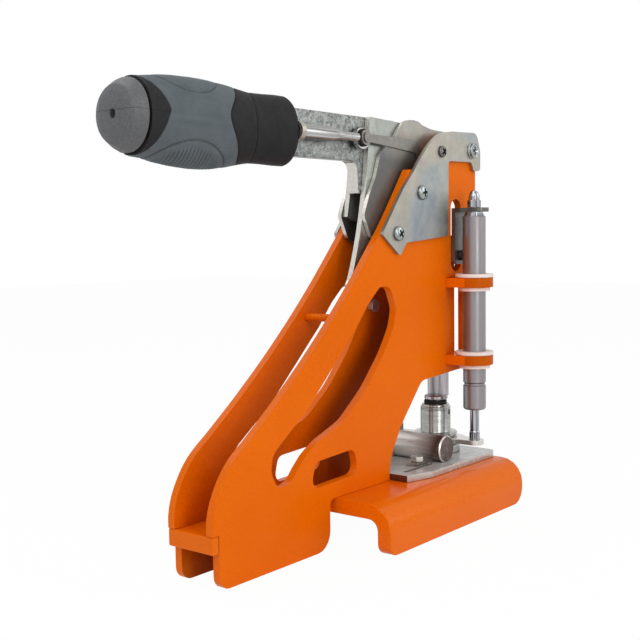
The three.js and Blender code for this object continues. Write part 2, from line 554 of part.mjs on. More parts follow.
// Rod with an eye beside the bar, its collar, and the flat link that runs into the head
const eyeOuter = rodEye.inner + rodEye.thickness;
const rodStart = -grip.front + fit;
const rodGeometry = turnedX([
  [0, rodStart], [eyeRod.radius, rodStart], [eyeRod.radius, -eyeRod.neck],
  [eyeRod.neckRadius, -eyeRod.neck + eyeRod.taper], [eyeRod.neckRadius, -eyeRod.eyeX - rodEye.radius + 1],
  [0, -eyeRod.eyeX - rodEye.radius + 1],
], -eyeRod.y, eyeZ);
const eyeGeometry = plateXZ(circle(-eyeRod.eyeX, eyeZ, rodEye.radius), [circle(-eyeRod.eyeX, eyeZ, rodEye.hole, 16)],
  -eyeOuter, -rodEye.inner);
add(leverGroup, 'eye_rod', join(rodGeometry, eyeGeometry), chrome());
add(leverGroup, 'rod_collar', cut(turnedX(
  ring(rodCollar.bore, rodCollar.radius, rodStart, rodStart + rodCollar.thickness),
  -eyeRod.y, eyeZ), box(
  rodStart - overrun, rodStart + rodCollar.thickness + overrun,
  -armHalf - fit, armHalf, eyeZ - 2 * rodCollar.radius, eyeZ + 2 * rodCollar.radius)), zincPlate());
const ringStart = eyeOuter + fit;
add(leverGroup, 'rubber_ring', turnedY(
  ring(rubberRing.inner, rubberRing.outer, ringStart, ringStart + rubberRing.thickness),
  -1, -eyeRod.eyeX, eyeZ), blackRubber());
const linkStart = ringStart + rubberRing.thickness + fit;
const linkHalf = linkBar.frontHeight / 2;
const linkOuter = linkStart + linkBar.thickness;
const linkEye = plateXZ(circle(-eyeRod.eyeX, eyeZ, linkBar.eye), [], -linkOuter, -linkStart);
const linkLow = eyeZ - linkBar.drop - linkBar.rearHeight / 2;
const linkHigh = linkLow + linkBar.rearHeight;
const linkStrip = plateXZ(outline([
  [-eyeRod.eyeX, eyeZ - linkHalf], [-linkBar.end - linkBar.bend / 2, linkLow, linkBar.round / 2],
  [-linkBar.end, linkLow - linkBar.bend, 1], [-linkBar.end + linkBar.tip, linkLow - linkBar.bend / 3, 1],
  [-linkBar.end, linkHigh - linkBar.bend / 3, linkBar.round], [-linkBar.end - linkBar.bend, linkHigh, linkBar.round],
  [-eyeRod.eyeX, eyeZ + linkHalf],
]), [], -linkOuter, -linkStart);
add(leverGroup, 'link_bar', cut(join(linkStrip, linkEye),
  plateXZ(eyePinHole, [], -linkOuter - overrun, -linkStart + overrun)), steel());
add(leverGroup, 'eye_pin', turnedY([
  [0, -armHalf], [eyePin.radius, -armHalf], [eyePin.radius, linkOuter + fit],
  [eyePin.head, linkOuter + fit], [eyePin.head, linkOuter + fit + eyePin.headHeight],
  [0, linkOuter + fit + eyePin.headHeight],
], -1, -eyeRod.eyeX, eyeZ, 16), steel());

// Grip: an oval moulding over the flat end of the bar, with a cap behind it and a ferrule in front.
// The profile is [half height, share of the way from the end to the front]; the sides are flatter.
const gripLength = grip.end - grip.front;
const capShares = [[0.5, 0.003], [0.655, 0.014], [0.775, 0.045], [0.845, 0.073], [0.88, 0.095], [0.85, 0.108]];
const bodyShares = [[0.86, 0], [0.895, 0.02], [0.957, 0.1], [0.993, 0.18], [1.008, 0.29], [1, 0.36], [0.985, 0.42],
  [0.955, 0.495], [0.9, 0.57], [0.865, 0.62], [0.857, 0.65]];
const ferruleShares = [[0.857, 0], [0.865, 0.08], [0.89, 0.16], [0.89, 0.22], [0.85, 0.239]];
const gripFlatShares = [[0, 1], [0.02, 0.98], [0.06, 0.84], [0.11, 0.71], [0.2, 0.66], [0.5, 0.66], [0.75, 0.63],
  [1, 0.63]];
function flatten(geometry) {
  const position = geometry.attributes.position;
  for (let i = 0; i < position.count; i += 1) {
    const share = THREE.MathUtils.clamp((position.getX(i) + grip.end) / gripLength, 0, 1);
    const next = Math.max(1, gripFlatShares.findIndex(([at]) => at >= share));
    const [[x0, w0], [x1, w1]] = [gripFlatShares[next - 1], gripFlatShares[next]];
    position.setY(i, position.getY(i) * (w0 + ((w1 - w0) * (share - x0)) / (x1 - x0)));
  }
  return geometry;
}
const gripPiece = (shares, start, stop) => {
  const profile = shares.map(([radius, share]) => [radius * grip.radius, -start + share * gripLength]);
  const last = profile[profile.length - 1][0];
  return flatten(turnedX([[0, -start], ...profile, [last, -stop], [0, -stop]]
    .filter(([radius, x], i, all) => i === 0
      || Math.abs(x - all[i - 1][1]) + Math.abs(radius - all[i - 1][0]) > fit / 3),
  0, gripAxis, 32));
};
const tangBore = box(-tang.end - fit, -grip.front + overrun, -armHalf - fit, armHalf + fit,
  armBottom - fit, armTop + fit);
add(leverGroup, 'grip_cap', cut(gripPiece(capShares, grip.end, gripJoints.cap + fit),
  turnedX(rod(gripDimple.radius, -grip.end - overrun, -grip.end + gripDimple.depth), 0, gripAxis, 16)),
  blackRubber());
add(leverGroup, 'grip_body',
  cut(gripPiece(bodyShares, gripJoints.cap, gripJoints.body + fit), tangBore), greyRubber());
add(leverGroup, 'grip_ferrule', cut(gripPiece(ferruleShares, gripJoints.body, grip.front), tangBore), blackRubber());

// Ram: a guided block with a slotted tongue for the crank pin, and a neck that carries the tools
const blockHalf = ramBlock.length / 2;
const blockSide = ramBlock.width / 2;
const tongueTop = crankZ + crank.pinRadius + crank.play + tongue.rim;
const swingSag = crank.radius - (pivot.x - crankX);
const pinSlotRadius = crank.pinRadius + crank.play;
const tongueShape = plateXZ(outline([
  [-tongue.front, ramBlock.top - 2 * overrun, 3], [tongue.rear, ramBlock.top - 2 * overrun, 3],
  [tongue.rear, tongueTop, 6], [-tongue.front, tongueTop, 6],
]), [slot(crankX - swingSag, crankZ, crankX, crankZ, pinSlotRadius)], -tongue.width / 2, tongue.width / 2);
const bossEnd = plateOuter + fit;
const ramBoss = [-1, 1].map((side) => turnedY(rod(boss.radius, blockSide - 1, bossEnd), side, bracket.x, boss.z));
const neckRear = blockHalf;
add(ramGroup, 'ram', cut(join(
  box(-blockHalf, blockHalf, -blockSide, blockSide, ramBlock.bottom, ramBlock.top),
  tongueShape, ...ramBoss,
  box(neckRear - neck.length, neckRear, -neck.width / 2, neck.width / 2, neck.bottom - 1, ramBlock.bottom + 1),
  turnedZ([[0, collar.bottom], [collar.radius - 0.8, collar.bottom], [collar.radius, collar.bottom + 0.8],
    [collar.radius, neck.bottom - 0.8], [collar.radius - 0.8, neck.bottom], [0, neck.bottom]], collar.offset, 0),
  turnedZ(rod(shank.radius, shank.bottom, collar.bottom + 1)),
), ...[-1, 1].map((side) => turnedY(
  rod(bracketScrew.radius + fit, bossEnd - bracketScrew.depth - fit, bossEnd + overrun),
  side, bracket.x, boss.z, 16))),
steel());
add(ramGroup, 'tool_seal_ring', turnedZ(ring(sealRing.inner, sealRing.outer,
  toolHolder.top + fit, toolHolder.top + fit + sealRing.height)), blackRubber());
const holderProfile = [
  [shank.radius + fit, toolHolder.top], [toolHolder.radius - 2 * toolHolder.lip, toolHolder.top],
  [toolHolder.radius - toolHolder.lip, toolHolder.top - toolHolder.lip],
  [toolHolder.radius - toolHolder.lip, toolHolder.top - 2 * toolHolder.lip],
  [toolHolder.radius, toolHolder.top - 2.6 * toolHolder.lip], [toolHolder.radius, toolHolder.bottom],
  [toolFlange.radius, toolHolder.bottom], [toolFlange.radius, toolHolder.bottom - toolFlange.thickness],
  [upperDie.shank + fit, toolHolder.bottom - toolFlange.thickness], [upperDie.shank + fit, upperDie.shankTop + fit],
  [0, upperDie.shankTop + fit], [0, shank.bottom - fit], [shank.radius + fit, shank.bottom - fit],
];
const holderTurned = turnedZ([...holderProfile.slice(11), ...holderProfile.slice(0, 11)], 0, 0, 32);
const setScrewHole = turnedY(rod(toolHolder.screwHole, shank.radius, toolHolder.radius + overrun),
  -1, 0, toolHolder.screwZ, 16).rotateZ(-THREE.MathUtils.degToRad(toolHolder.screwTurn));
add(ramGroup, 'tool_holder', cut(holderTurned, setScrewHole), steel());
const dieCollar = toolHolder.bottom - toolFlange.thickness - fit;
add(ramGroup, 'upper_die', turnedZ([
  [0, upperDie.bottom + 1], [upperDie.rim - 2, upperDie.bottom + 1], [upperDie.rim, upperDie.bottom],
  [upperDie.radius, upperDie.bottom + 1.2], [upperDie.radius, dieCollar], [upperDie.shank, dieCollar],
  [upperDie.shank, upperDie.shankTop], [0, upperDie.shankTop],
]), steel());

// Spring columns beside the ram: tube, gland, plunger, spring, bracket and nut on each side
const springTop = column.top - stud.plug - fit;
const springBottom = plunger.headTop + fit;
function coilGeometry(x, y, bottom, top) {
  const total = spring.turns * spring.steps;
  const positions = [];
  const index = [];
  const wireRadius = spring.wire / 2;
  const low = bottom + wireRadius;
  const rise = (top - wireRadius - low) / total;
  const slope = Math.atan2(rise * spring.steps, 2 * Math.PI * spring.coil);
  for (let i = 0; i <= total; i += 1) {
    const angle = (2 * Math.PI * i) / spring.steps;
    for (let side = 0; side < spring.sides; side += 1) {
      const turn = (2 * Math.PI * side) / spring.sides;
      const outwards = spring.coil + wireRadius * Math.cos(turn);
      const lean = wireRadius * Math.sin(turn);
      positions.push(
        x + outwards * Math.cos(angle) + lean * Math.sin(slope) * Math.sin(angle),
        y + outwards * Math.sin(angle) - lean * Math.sin(slope) * Math.cos(angle),
        low + rise * i + lean * Math.cos(slope));
    }
  }
  for (let i = 0; i < total; i += 1) {
    for (let side = 0; side < spring.sides; side += 1) {
      const a = i * spring.sides + side;
      const b = i * spring.sides + ((side + 1) % spring.sides);
      index.push(a, a + spring.sides, b, b, a + spring.sides, b + spring.sides);
    }
  }
  const last = total * spring.sides;
  for (let side = 1; side < spring.sides - 1; side += 1) {
    index.push(0, side, side + 1);
    index.push(last, last + side + 1, last + side);
  }
  const geometry = new THREE.BufferGeometry();
  geometry.setAttribute('position', new THREE.Float32BufferAttribute(positions, 3));
  geometry.setIndex(index);
  return geometry;
}
const lugBottom = column.top + stud.neckHeight + fit;
const lugTop = lugBottom + bracket.thickness;
const legInner = bossEnd + fit;
const legOuter = legInner + bracket.thickness;
const hexRadius = acornNut.flats / 2 / Math.cos(Math.PI / 6);
for (const [side, name] of sides) {
  const y = side * columnY;
  add(ramGroup, `column_tube_${name}`, turnedZ([
    [0, column.top - stud.plug], [column.bore, column.top - stud.plug], [column.bore, column.joint],
    [column.radius, column.joint], [column.radius, column.top - 1], [column.radius - 1, column.top],
    [stud.neck, column.top], [stud.neck, column.top + stud.neckHeight], [stud.radius, column.top + stud.neckHeight],
    [stud.radius, stud.top], [0, stud.top],
  ], 0, y), anodised());
  add(ramGroup, `column_gland_${name}`, turnedZ([
    [gland.bore, column.bottom], [column.radius - gland.round, column.bottom],
    [column.radius - gland.round * 0.3, column.bottom + gland.round * 0.3],
    [column.radius, column.bottom + gland.round], [column.radius, column.joint - 2 * gland.groove],
    [column.radius - gland.groove, column.joint - gland.groove], [column.radius - gland.groove, column.joint - fit],
    [gland.plug, column.joint - fit], [gland.plug, gland.plugTop], [gland.bore, gland.plugTop],
  ], 0, y), anodised());
  add(ramGroup, `column_spring_${name}`, coilGeometry(0, y, springBottom, springTop), steel());
  const leg = plateXZ(outline([
    [bracket.x - bracket.width / 2, bracket.bottom, 3], [bracket.x + bracket.width / 2, bracket.bottom, 3],
    [bracket.x + bracket.width / 2, lugTop], [bracket.x - bracket.width / 2, lugTop],
  ]), [circle(bracket.x, boss.z, bracketScrew.radius + fit, 16)], side * legInner, side * legOuter);
  const lugY = columnY + bracket.lugReach;
  const lugPoints = outline([
    [bracket.x - bracket.width / 2, legInner], [bracket.x + bracket.width / 2, legInner],
    [bracket.x + bracket.width / 2, lugY, 6], [bracket.x - bracket.width / 2, lugY, 6],
  ]).map((point) => new THREE.Vector2(point.x, side * point.y));
  const lug = plateXY(lugPoints, [circle(0, y, stud.radius + fit, 16)], lugBottom, lugTop);
  add(ramGroup, `column_bracket_${name}`, join(leg, lug), zincPlate());
  const headFace = legOuter + fit;
  const screw = turnedY([
    [0, bossEnd - bracketScrew.depth], [bracketScrew.radius, bossEnd - bracketScrew.depth],
    [bracketScrew.radius, headFace], [bracketScrew.head, headFace],
    [bracketScrew.head, headFace + bracketScrew.headHeight - 0.6],
    [bracketScrew.head - 0.6, headFace + bracketScrew.headHeight], [0, headFace + bracketScrew.headHeight],
  ], side, bracket.x, boss.z, 16);
  const socket = turnedY(rod(bracketScrew.radius * 0.8, headFace + 1, headFace + bracketScrew.headHeight + overrun),
    side, bracket.x, boss.z, 6);
  add(ramGroup, `bracket_screw_${name}`, cut(screw, socket), steel());
  const nutSeat = lugTop + fit;
  const hex = turnedZ(rod(hexRadius, nutSeat, nutSeat + acornNut.hexHeight), 0, y, 6);
  const dome = turnedZ([
    [0, nutSeat + acornNut.hexHeight - 1], [acornNut.domeRadius, nutSeat + acornNut.hexHeight - 1],
    [acornNut.domeRadius, nutSeat + acornNut.height * 0.62],
    [acornNut.domeRadius * 0.9, nutSeat + acornNut.height * 0.78],
    [acornNut.domeRadius * 0.62, nutSeat + acornNut.height * 0.92],
    [acornNut.domeRadius * 0.25, nutSeat + acornNut.height * 0.99], [0, nutSeat + acornNut.height],
  ], 0, y, 20);
  const nutBore = turnedZ(rod(acornNut.bore, nutSeat - overrun, stud.top + fit), 0, y, 16);
  add(ramGroup, `acorn_nut_${name}`, cut(join(hex, dome), nutBore), chrome());
}

// Stripper: the pressure plate on its two plungers
const stripperTop = stripper.bottom + stripper.thickness;
const stripperCorners = [];
for (const side of [-1, 1]) {
  const at = (x, y, radius) => [side * -x, side * y, radius];
  stripperCorners.push(at(-stripper.hub * 0.72, -stripper.hub * 0.72, 12), at(-stripper.neckHalf, -stripper.neckY, 8),
    at(-stripper.pad, -columnY - stripper.pad, stripper.pad - 0.5),
    at(stripper.pad, -columnY - stripper.pad, stripper.pad - 0.5),
    at(stripper.neckHalf, -stripper.neckY, 8), at(stripper.hub * 0.72, -stripper.hub * 0.72, 12));
}
add(stripperGroup, 'stripper_plate', plateXY(outline(stripperCorners), [
  circle(0, 0, stripper.hole), circle(0, -columnY, plunger.knurl + fit, 20),
  circle(0, columnY, plunger.knurl + fit, 20),
], stripper.bottom, stripperTop), zincPlate());
for (const [side, name] of sides) {
  add(stripperGroup, `plunger_${name}`, turnedZ([
    [0, stripper.bottom], [plunger.knurl, stripper.bottom], [plunger.knurl, plunger.knurlTop],
    [plunger.radius, plunger.knurlTop + 1], [plunger.radius, plunger.headBottom], [plunger.head, plunger.headBottom],
    [plunger.head, plunger.headTop], [0, plunger.headTop],
  ], 0, side * columnY), chrome());
}

// The whole press, with its origin under the middle of its box
const press = new THREE.Group();
press.add(frameGroup, leverGroup, ramGroup, stripperGroup);
press.position.set((grip.end - cover.rear) / 2, 0, 0);
export default press;
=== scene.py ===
import json
import math

import bmesh
import bpy
from mathutils import Matrix, Vector


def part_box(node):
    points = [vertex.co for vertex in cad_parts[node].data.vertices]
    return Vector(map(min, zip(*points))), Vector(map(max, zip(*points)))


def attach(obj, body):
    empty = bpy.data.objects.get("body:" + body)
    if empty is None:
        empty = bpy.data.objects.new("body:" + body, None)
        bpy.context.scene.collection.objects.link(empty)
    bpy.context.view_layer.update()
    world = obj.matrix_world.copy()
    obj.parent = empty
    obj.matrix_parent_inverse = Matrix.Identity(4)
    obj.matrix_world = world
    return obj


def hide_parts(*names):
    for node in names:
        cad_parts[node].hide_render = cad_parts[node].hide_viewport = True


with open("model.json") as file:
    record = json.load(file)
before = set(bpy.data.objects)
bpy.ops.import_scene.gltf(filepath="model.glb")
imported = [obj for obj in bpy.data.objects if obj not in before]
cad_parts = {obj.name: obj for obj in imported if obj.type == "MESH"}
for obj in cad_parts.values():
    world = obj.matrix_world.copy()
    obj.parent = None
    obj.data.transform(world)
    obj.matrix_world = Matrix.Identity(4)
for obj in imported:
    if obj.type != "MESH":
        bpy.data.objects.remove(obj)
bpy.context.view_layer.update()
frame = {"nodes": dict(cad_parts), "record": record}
print("frame loaded:", len(frame["nodes"]), "nodes")

mm = 0.001
nearSide = -1  # sign of Y on the side that the camera sees
closeBy = 1e-6  # points within this many metres become one


# Camera, from the photograph's solved view; its picture is 640 pixels wide
camera = {
    "place": (-0.61836, -0.49748, 0.23286),
    "right": (0.62617, -0.77956, -0.01385),
    "up": (0.07068, 0.03906, 0.99673),
    "back": (-0.77647, -0.62511, 0.07956),
    "lens": 58.995,
    "sensor": 36,
}
cameraData = bpy.data.cameras.new("camera")
cameraData.lens = camera["lens"]
cameraData.sensor_width = camera["sensor"]
cameraData.clip_start = 0.01
cameraObject = bpy.data.objects.new("camera", cameraData)
axes = Matrix((camera["right"], camera["up"], camera["back"])).transposed().to_4x4()
cameraObject.matrix_world = Matrix.Translation(camera["place"]) @ axes
bpy.context.scene.collection.objects.link(cameraObject)
bpy.context.scene.camera = cameraObject
bpy.context.scene.view_settings.view_transform = "Standard"


# Studio: a white backdrop, a soft world, a large lamp, a tall strip, a fill and one overhead
studio = {
    "worldStrength": 0.41,
    "floorSize": 8,
    "floorWhite": 0.972,  # share of plain white that the camera sees in the floor
    "floorColour": (0.93, 0.93, 0.93, 1),
    "floorRoughness": 0.9,
    "lampTarget": (0, 0, 0.16),
    "lamps": [  # place, width, height, watts
        ((-1.1, -0.45, 1.1), 1.0, 1.0, 6),
        ((-0.42, -1.1, 0.5), 0.28, 1.3, 4.5),
        ((0.8, -1.0, 0.7), 0.8, 0.8, 3),
        ((-0.3, 0.5, 1.5), 1.2, 1.2, 6),
    ],
}


def seenDirectly(nodes, links):  # 1 for rays from the camera, from gloss and through glass
    path = nodes.new("ShaderNodeLightPath")
    share = path.outputs["Is Camera Ray"]
    for ray in ("Is Glossy Ray", "Is Transmission Ray"):
        either = nodes.new("ShaderNodeMath")
        either.operation = "MAXIMUM"
        links.new(share, either.inputs[0])
        links.new(path.outputs[ray], either.inputs[1])
        share = either.outputs[0]
    return share


def buildStudio():
    world = bpy.data.worlds.new("studio")
    world.use_nodes = True
    bpy.context.scene.world = world
    nodes, links = world.node_tree.nodes, world.node_tree.links
    soft = nodes["Background"]
    soft.inputs["Color"].default_value = (1, 1, 1, 1)
    soft.inputs["Strength"].default_value = studio["worldStrength"]
    white = nodes.new("ShaderNodeBackground")
    white.inputs["Color"].default_value = (1, 1, 1, 1)
    white.inputs["Strength"].default_value = 1
    mix = nodes.new("ShaderNodeMixShader")
    links.new(seenDirectly(nodes, links), mix.inputs[0])
    links.new(soft.outputs[0], mix.inputs[1])
    links.new(white.outputs[0], mix.inputs[2])
    links.new(mix.outputs[0], nodes["World Output"].inputs["Surface"])

    bm = bmesh.new()
    bmesh.ops.create_grid(bm, x_segments=4, y_segments=4, size=studio["floorSize"] / 2)
    mesh = bpy.data.meshes.new("floor")
    bm.to_mesh(mesh)
    bm.free()
    floor = bpy.data.objects.new("floor", mesh)
    bpy.context.scene.collection.objects.link(floor)
    paper = bpy.data.materials.new("whitePaper")
    paper.use_nodes = True
    nodes, links = paper.node_tree.nodes, paper.node_tree.links
    shader = nodes["Principled BSDF"]
    shader.inputs["Base Color"].default_value = studio["floorColour"]
    shader.inputs["Roughness"].default_value = studio["floorRoughness"]
    glow = nodes.new("ShaderNodeEmission")
    glow.inputs["Strength"].default_value = 1
    share = nodes.new("ShaderNodeMath")
    share.operation = "MULTIPLY"
    share.inputs[1].default_value = studio["floorWhite"]
    links.new(seenDirectly(nodes, links), share.inputs[0])
    mix = nodes.new("ShaderNodeMixShader")
    links.new(share.outputs[0], mix.inputs[0])
    links.new(shader.outputs[0], mix.inputs[1])
    links.new(glow.outputs[0], mix.inputs[2])
    links.new(mix.outputs[0], nodes["Material Output"].inputs["Surface"])
    mesh.materials.append(paper)

    target = Vector(studio["lampTarget"])
    for i, (place, width, tall, watts) in enumerate(studio["lamps"]):
        lampData = bpy.data.lights.new("lamp%d" % i, "AREA")
        lampData.shape = "RECTANGLE"
        lampData.size = width
        lampData.size_y = tall
        lampData.energy = watts
        lamp = bpy.data.objects.new("lamp%d" % i, lampData)
        aim = (Vector(place) - target).to_track_quat("Z", "Y").to_matrix().to_4x4()
        lamp.matrix_world = Matrix.Translation(place) @ aim
        bpy.context.scene.collection.objects.link(lamp)


buildStudio()
print("studio and camera ready")


# Finishes
def srgb(red, green, blue):
    def linear(value):
        value /= 255
        return value / 12.92 if value <= 0.04045 else ((value + 0.055) / 1.055) ** 2.4
    return (linear(red), linear(green), linear(blue), 1)


def tones(low, high, first=0.3, last=0.7):  # two colours, and where they stand in a tint
    return [(first, srgb(*low)), (last, srgb(*high))]


class Finish:  # one node material on Object coordinates
    def __init__(self, name):
        self.material = bpy.data.materials.new(name)
        self.material.use_nodes = True
        self.nodes = self.material.node_tree.nodes
        self.links = self.material.node_tree.links
        self.shader = self.nodes["Principled BSDF"]
        self.height = None

    def value(self, socket, number):
        self.shader.inputs[socket].default_value = number

    def coords(self, stretch=(1, 1, 1)):
        source = self.nodes.new("ShaderNodeTexCoord")
        mapping = self.nodes.new("ShaderNodeMapping")
        mapping.inputs["Scale"].default_value = stretch
        self.links.new(source.outputs["Object"], mapping.inputs["Vector"])
        return mapping.outputs["Vector"]

    def position(self):  # X, Y and Z of a point, in metres
        split = self.nodes.new("ShaderNodeSeparateXYZ")
        self.links.new(self.coords(), split.inputs[0])
        return split.outputs

    def noise(self, scale, detail=3, roughness=0.5, stretch=(1, 1, 1), distortion=0):
        node = self.nodes.new("ShaderNodeTexNoise")
        node.inputs["Scale"].default_value = scale
        node.inputs["Detail"].default_value = detail
        node.inputs["Roughness"].default_value = roughness
        node.inputs["Distortion"].default_value = distortion
        self.links.new(self.coords(stretch), node.inputs["Vector"])
        return node.outputs["Fac"]

    def cells(self, scale):
        node = self.nodes.new("ShaderNodeTexVoronoi")
        node.inputs["Scale"].default_value = scale
        self.links.new(self.coords(), node.inputs["Vector"])
        split = self.nodes.new("ShaderNodeSeparateColor")
        self.links.new(node.outputs["Color"], split.inputs["Color"])
        return split.outputs[0]

    def span(self, source, low, high, start, end):  # maps low..high to start..end
        node = self.nodes.new("ShaderNodeMapRange")
        sockets = ("From Min", "From Max", "To Min", "To Max")
        for socket, number in zip(sockets, (low, high, start, end)):
            node.inputs[socket].default_value = number
        self.links.new(source, node.inputs["Value"])
        return node.outputs["Result"]

    def tint(self, source, stops):
        node = self.nodes.new("ShaderNodeValToRGB")
        ramp = node.color_ramp.elements
        while len(ramp) < len(stops):
            ramp.new(0.5)
        for element, (place, colour) in zip(ramp, stops):
            element.position = place
            element.color = colour
        self.links.new(source, node.inputs["Fac"])
        return node.outputs["Color"]

    def blend(self, share, first, second):
        node = self.nodes.new("ShaderNodeMix")
        node.data_type = "RGBA"
        sockets = (node.inputs["Factor"], node.inputs[6], node.inputs[7])  # 6 and 7 take colours
        for socket, thing in zip(sockets, (share, first, second)):
            if isinstance(thing, (int, float, tuple)):
                socket.default_value = thing
            else:
                self.links.new(thing, socket)
        return node.outputs[2]

    def calc(self, operation, *things):
        node = self.nodes.new("ShaderNodeMath")
        node.operation = operation
        for socket, thing in zip(node.inputs, things):
            if isinstance(thing, (int, float)):
                socket.default_value = thing
            else:
                self.links.new(thing, socket)
        return node.outputs[0]

    def colour(self, source):
        self.links.new(source, self.shader.inputs["Base Color"])

    def rough(self, source, low, high, first=0.3, last=0.7):
        self.links.new(self.span(source, first, last, low, high), self.shader.inputs["Roughness"])

    def bump(self, source, depth, strength):  # depth in metres
        node = self.nodes.new("ShaderNodeBump")
        node.inputs["Distance"].default_value = depth
        node.inputs["Strength"].default_value = strength
        self.links.new(source, node.inputs["Height"])
        if self.height is not None:
            self.links.new(self.height, node.inputs["Normal"])
        self.height = node.outputs["Normal"]
        self.links.new(self.height, self.shader.inputs["Normal"])


paintedShadeChannel = {  # painted shade between the side plates: it deepens away from the front edge, and lifts where light comes in through the long slot
    "edge": (0.697, -0.717, 0.1421),  # share of X, share of Z and start; their sum is the depth in metres
    "fades": [(0.012, 0.036, 0.34), (0.06, 0.075, -0.34), (0.082, 0.099, 0.5)],  # from, to, change of painted shade
}


def orangePaint(name, specular, low, high, shade=0.0, between=False):  # low and high are roughness; shade is the share of painted shade
    finish = Finish(name)
    base = finish.tint(finish.noise(9, 2), tones((226, 100, 2), (236, 110, 3), 0.35, 0.65))
    specks = finish.tint(finish.noise(900, 2, 0.6), tones((208, 86, 1), (244, 120, 6), 0.3, 0.62))
    # colour of the painted shade
    dark = srgb(112, 44, 2)
    if between:  # painted shade: the inner faces darken away from the sloping front edge
        dark = srgb(72, 27, 2)
        alongX, alongZ, start = paintedShadeChannel["edge"]
        x, _, z = finish.position()
        depth = finish.calc("ADD", finish.calc("MULTIPLY", x, alongX), finish.calc("MULTIPLY", z, alongZ))
        depth = finish.calc("ADD", depth, start)
        for near, far, change in paintedShadeChannel["fades"]:
            shade = finish.calc("ADD", shade, finish.span(depth, near, far, 0, change))
    finish.colour(finish.blend(shade, finish.blend(0.35, base, specks), dark))
    finish.rough(finish.noise(160, 3), low, high)
    finish.value("Specular IOR Level", specular)
    finish.bump(finish.noise(1000, 1), 0.00012, 0.7)
    finish.bump(finish.noise(240, 2), 0.00008, 0.5)
    return finish.material


def zincPlate(name="cloudedZinc", deep=None, metallic=0.85):  # bluish, pinkish and yellowish clouds
    finish = Finish(name)
    cloud = finish.noise(22, 3, 0.55, distortion=0.8)
    base = finish.tint(cloud, [(0.32, srgb(126, 139, 151)), (0.44, srgb(155, 159, 158)),
                               (0.56, srgb(171, 165, 149)), (0.7, srgb(163, 145, 143))])
    smudge = finish.tint(finish.noise(75, 5, 0.65), tones((128, 134, 140), (176, 175, 168), 0.36, 0.6))
    colour = finish.blend(0.28, base, smudge)
    if deep:  # painted shade: the sheet darkens from one height down to another, in millimetres, with a ragged edge
        _, _, z = finish.position()
        ragged = finish.calc("ADD", z, finish.calc("MULTIPLY", cloud, 12 * mm))
        share = finish.span(ragged, deep[1] * mm, deep[0] * mm, 0.8, 0.16)
        colour = finish.blend(share, colour, srgb(60, 61, 60))
    finish.colour(colour)
    finish.value("Metallic", metallic)
    finish.rough(finish.noise(110, 4, 0.6), 0.3, 0.46)
    finish.bump(finish.noise(520, 3), 0.00002, 0.4)
    return finish.material


def galvanised():
    finish = Finish("spangledGalvanising")
    cells = finish.cells(300)
    base = finish.tint(cells, [(0.0, srgb(66, 71, 71)), (0.5, srgb(116, 120, 119)),
                               (1.0, srgb(178, 180, 177))])
    flecks = finish.tint(finish.cells(820), tones((54, 58, 58), (184, 186, 182), 0, 1))
    finish.colour(finish.blend(0.42, base, flecks))
    finish.value("Metallic", 0.85)
    finish.rough(cells, 0.3, 0.55, 0, 1)
    finish.bump(finish.noise(700, 3), 0.00004, 0.6)
    return finish.material


def plainSteel(name, low, high, metallic, roughness, stretch=(1, 1, 1), scale=300, depth=0.00002, stains=0):
    finish = Finish(name)
    grain = finish.noise(scale, 4, 0.65, stretch=stretch)
    colour = finish.tint(grain, tones(low, high))
    if stains:
        mark = finish.span(finish.noise(45, 4, 0.6), 0.5, 0.68, 0, stains)
        colour = finish.blend(mark, colour, srgb(92, 74, 66))
    finish.colour(colour)
    finish.value("Metallic", metallic)
    finish.rough(finish.noise(60, 3), roughness - 0.05, roughness + 0.07)
    finish.bump(grain, depth, 0.4)
    return finish.material


def barSteel():  # bright along the middle, brown and blotchy towards the ends
    finish = Finish("stopBarSteel")
    grain = finish.noise(420, 4, 0.6, stretch=(1, 0.08, 1))
    bright = finish.tint(grain, tones((182, 179, 173), (222, 219, 213)))
    blotch = finish.noise(110, 4, 0.65)
    brown = finish.tint(blotch, [(0.32, srgb(66, 47, 41)), (0.52, srgb(84, 66, 59)),
                                 (0.7, srgb(116, 102, 94))])
    _, y, _ = finish.position()
    reach = finish.calc("ADD", finish.calc("ABSOLUTE", y), finish.calc("MULTIPLY", blotch, 10 * mm))
    share = finish.span(reach, 14 * mm, 34 * mm, 0, 1)
    finish.colour(finish.blend(share, bright, brown))
    finish.value("Metallic", 0.35)
    finish.rough(grain, 0.26, 0.38)
    finish.bump(grain, 0.00003, 0.5)
    return finish.material


def mouldedRubber(name, low, high, roughness, specular=0.22):
    finish = Finish(name)
    finish.colour(finish.tint(finish.noise(70, 4, 0.6), tones(low, high)))
    finish.rough(finish.noise(300, 2), roughness - 0.05, roughness + 0.06)
    finish.value("Specular IOR Level", specular)
    finish.bump(finish.noise(1400, 2), 0.00005, 0.5)
    return finish.material


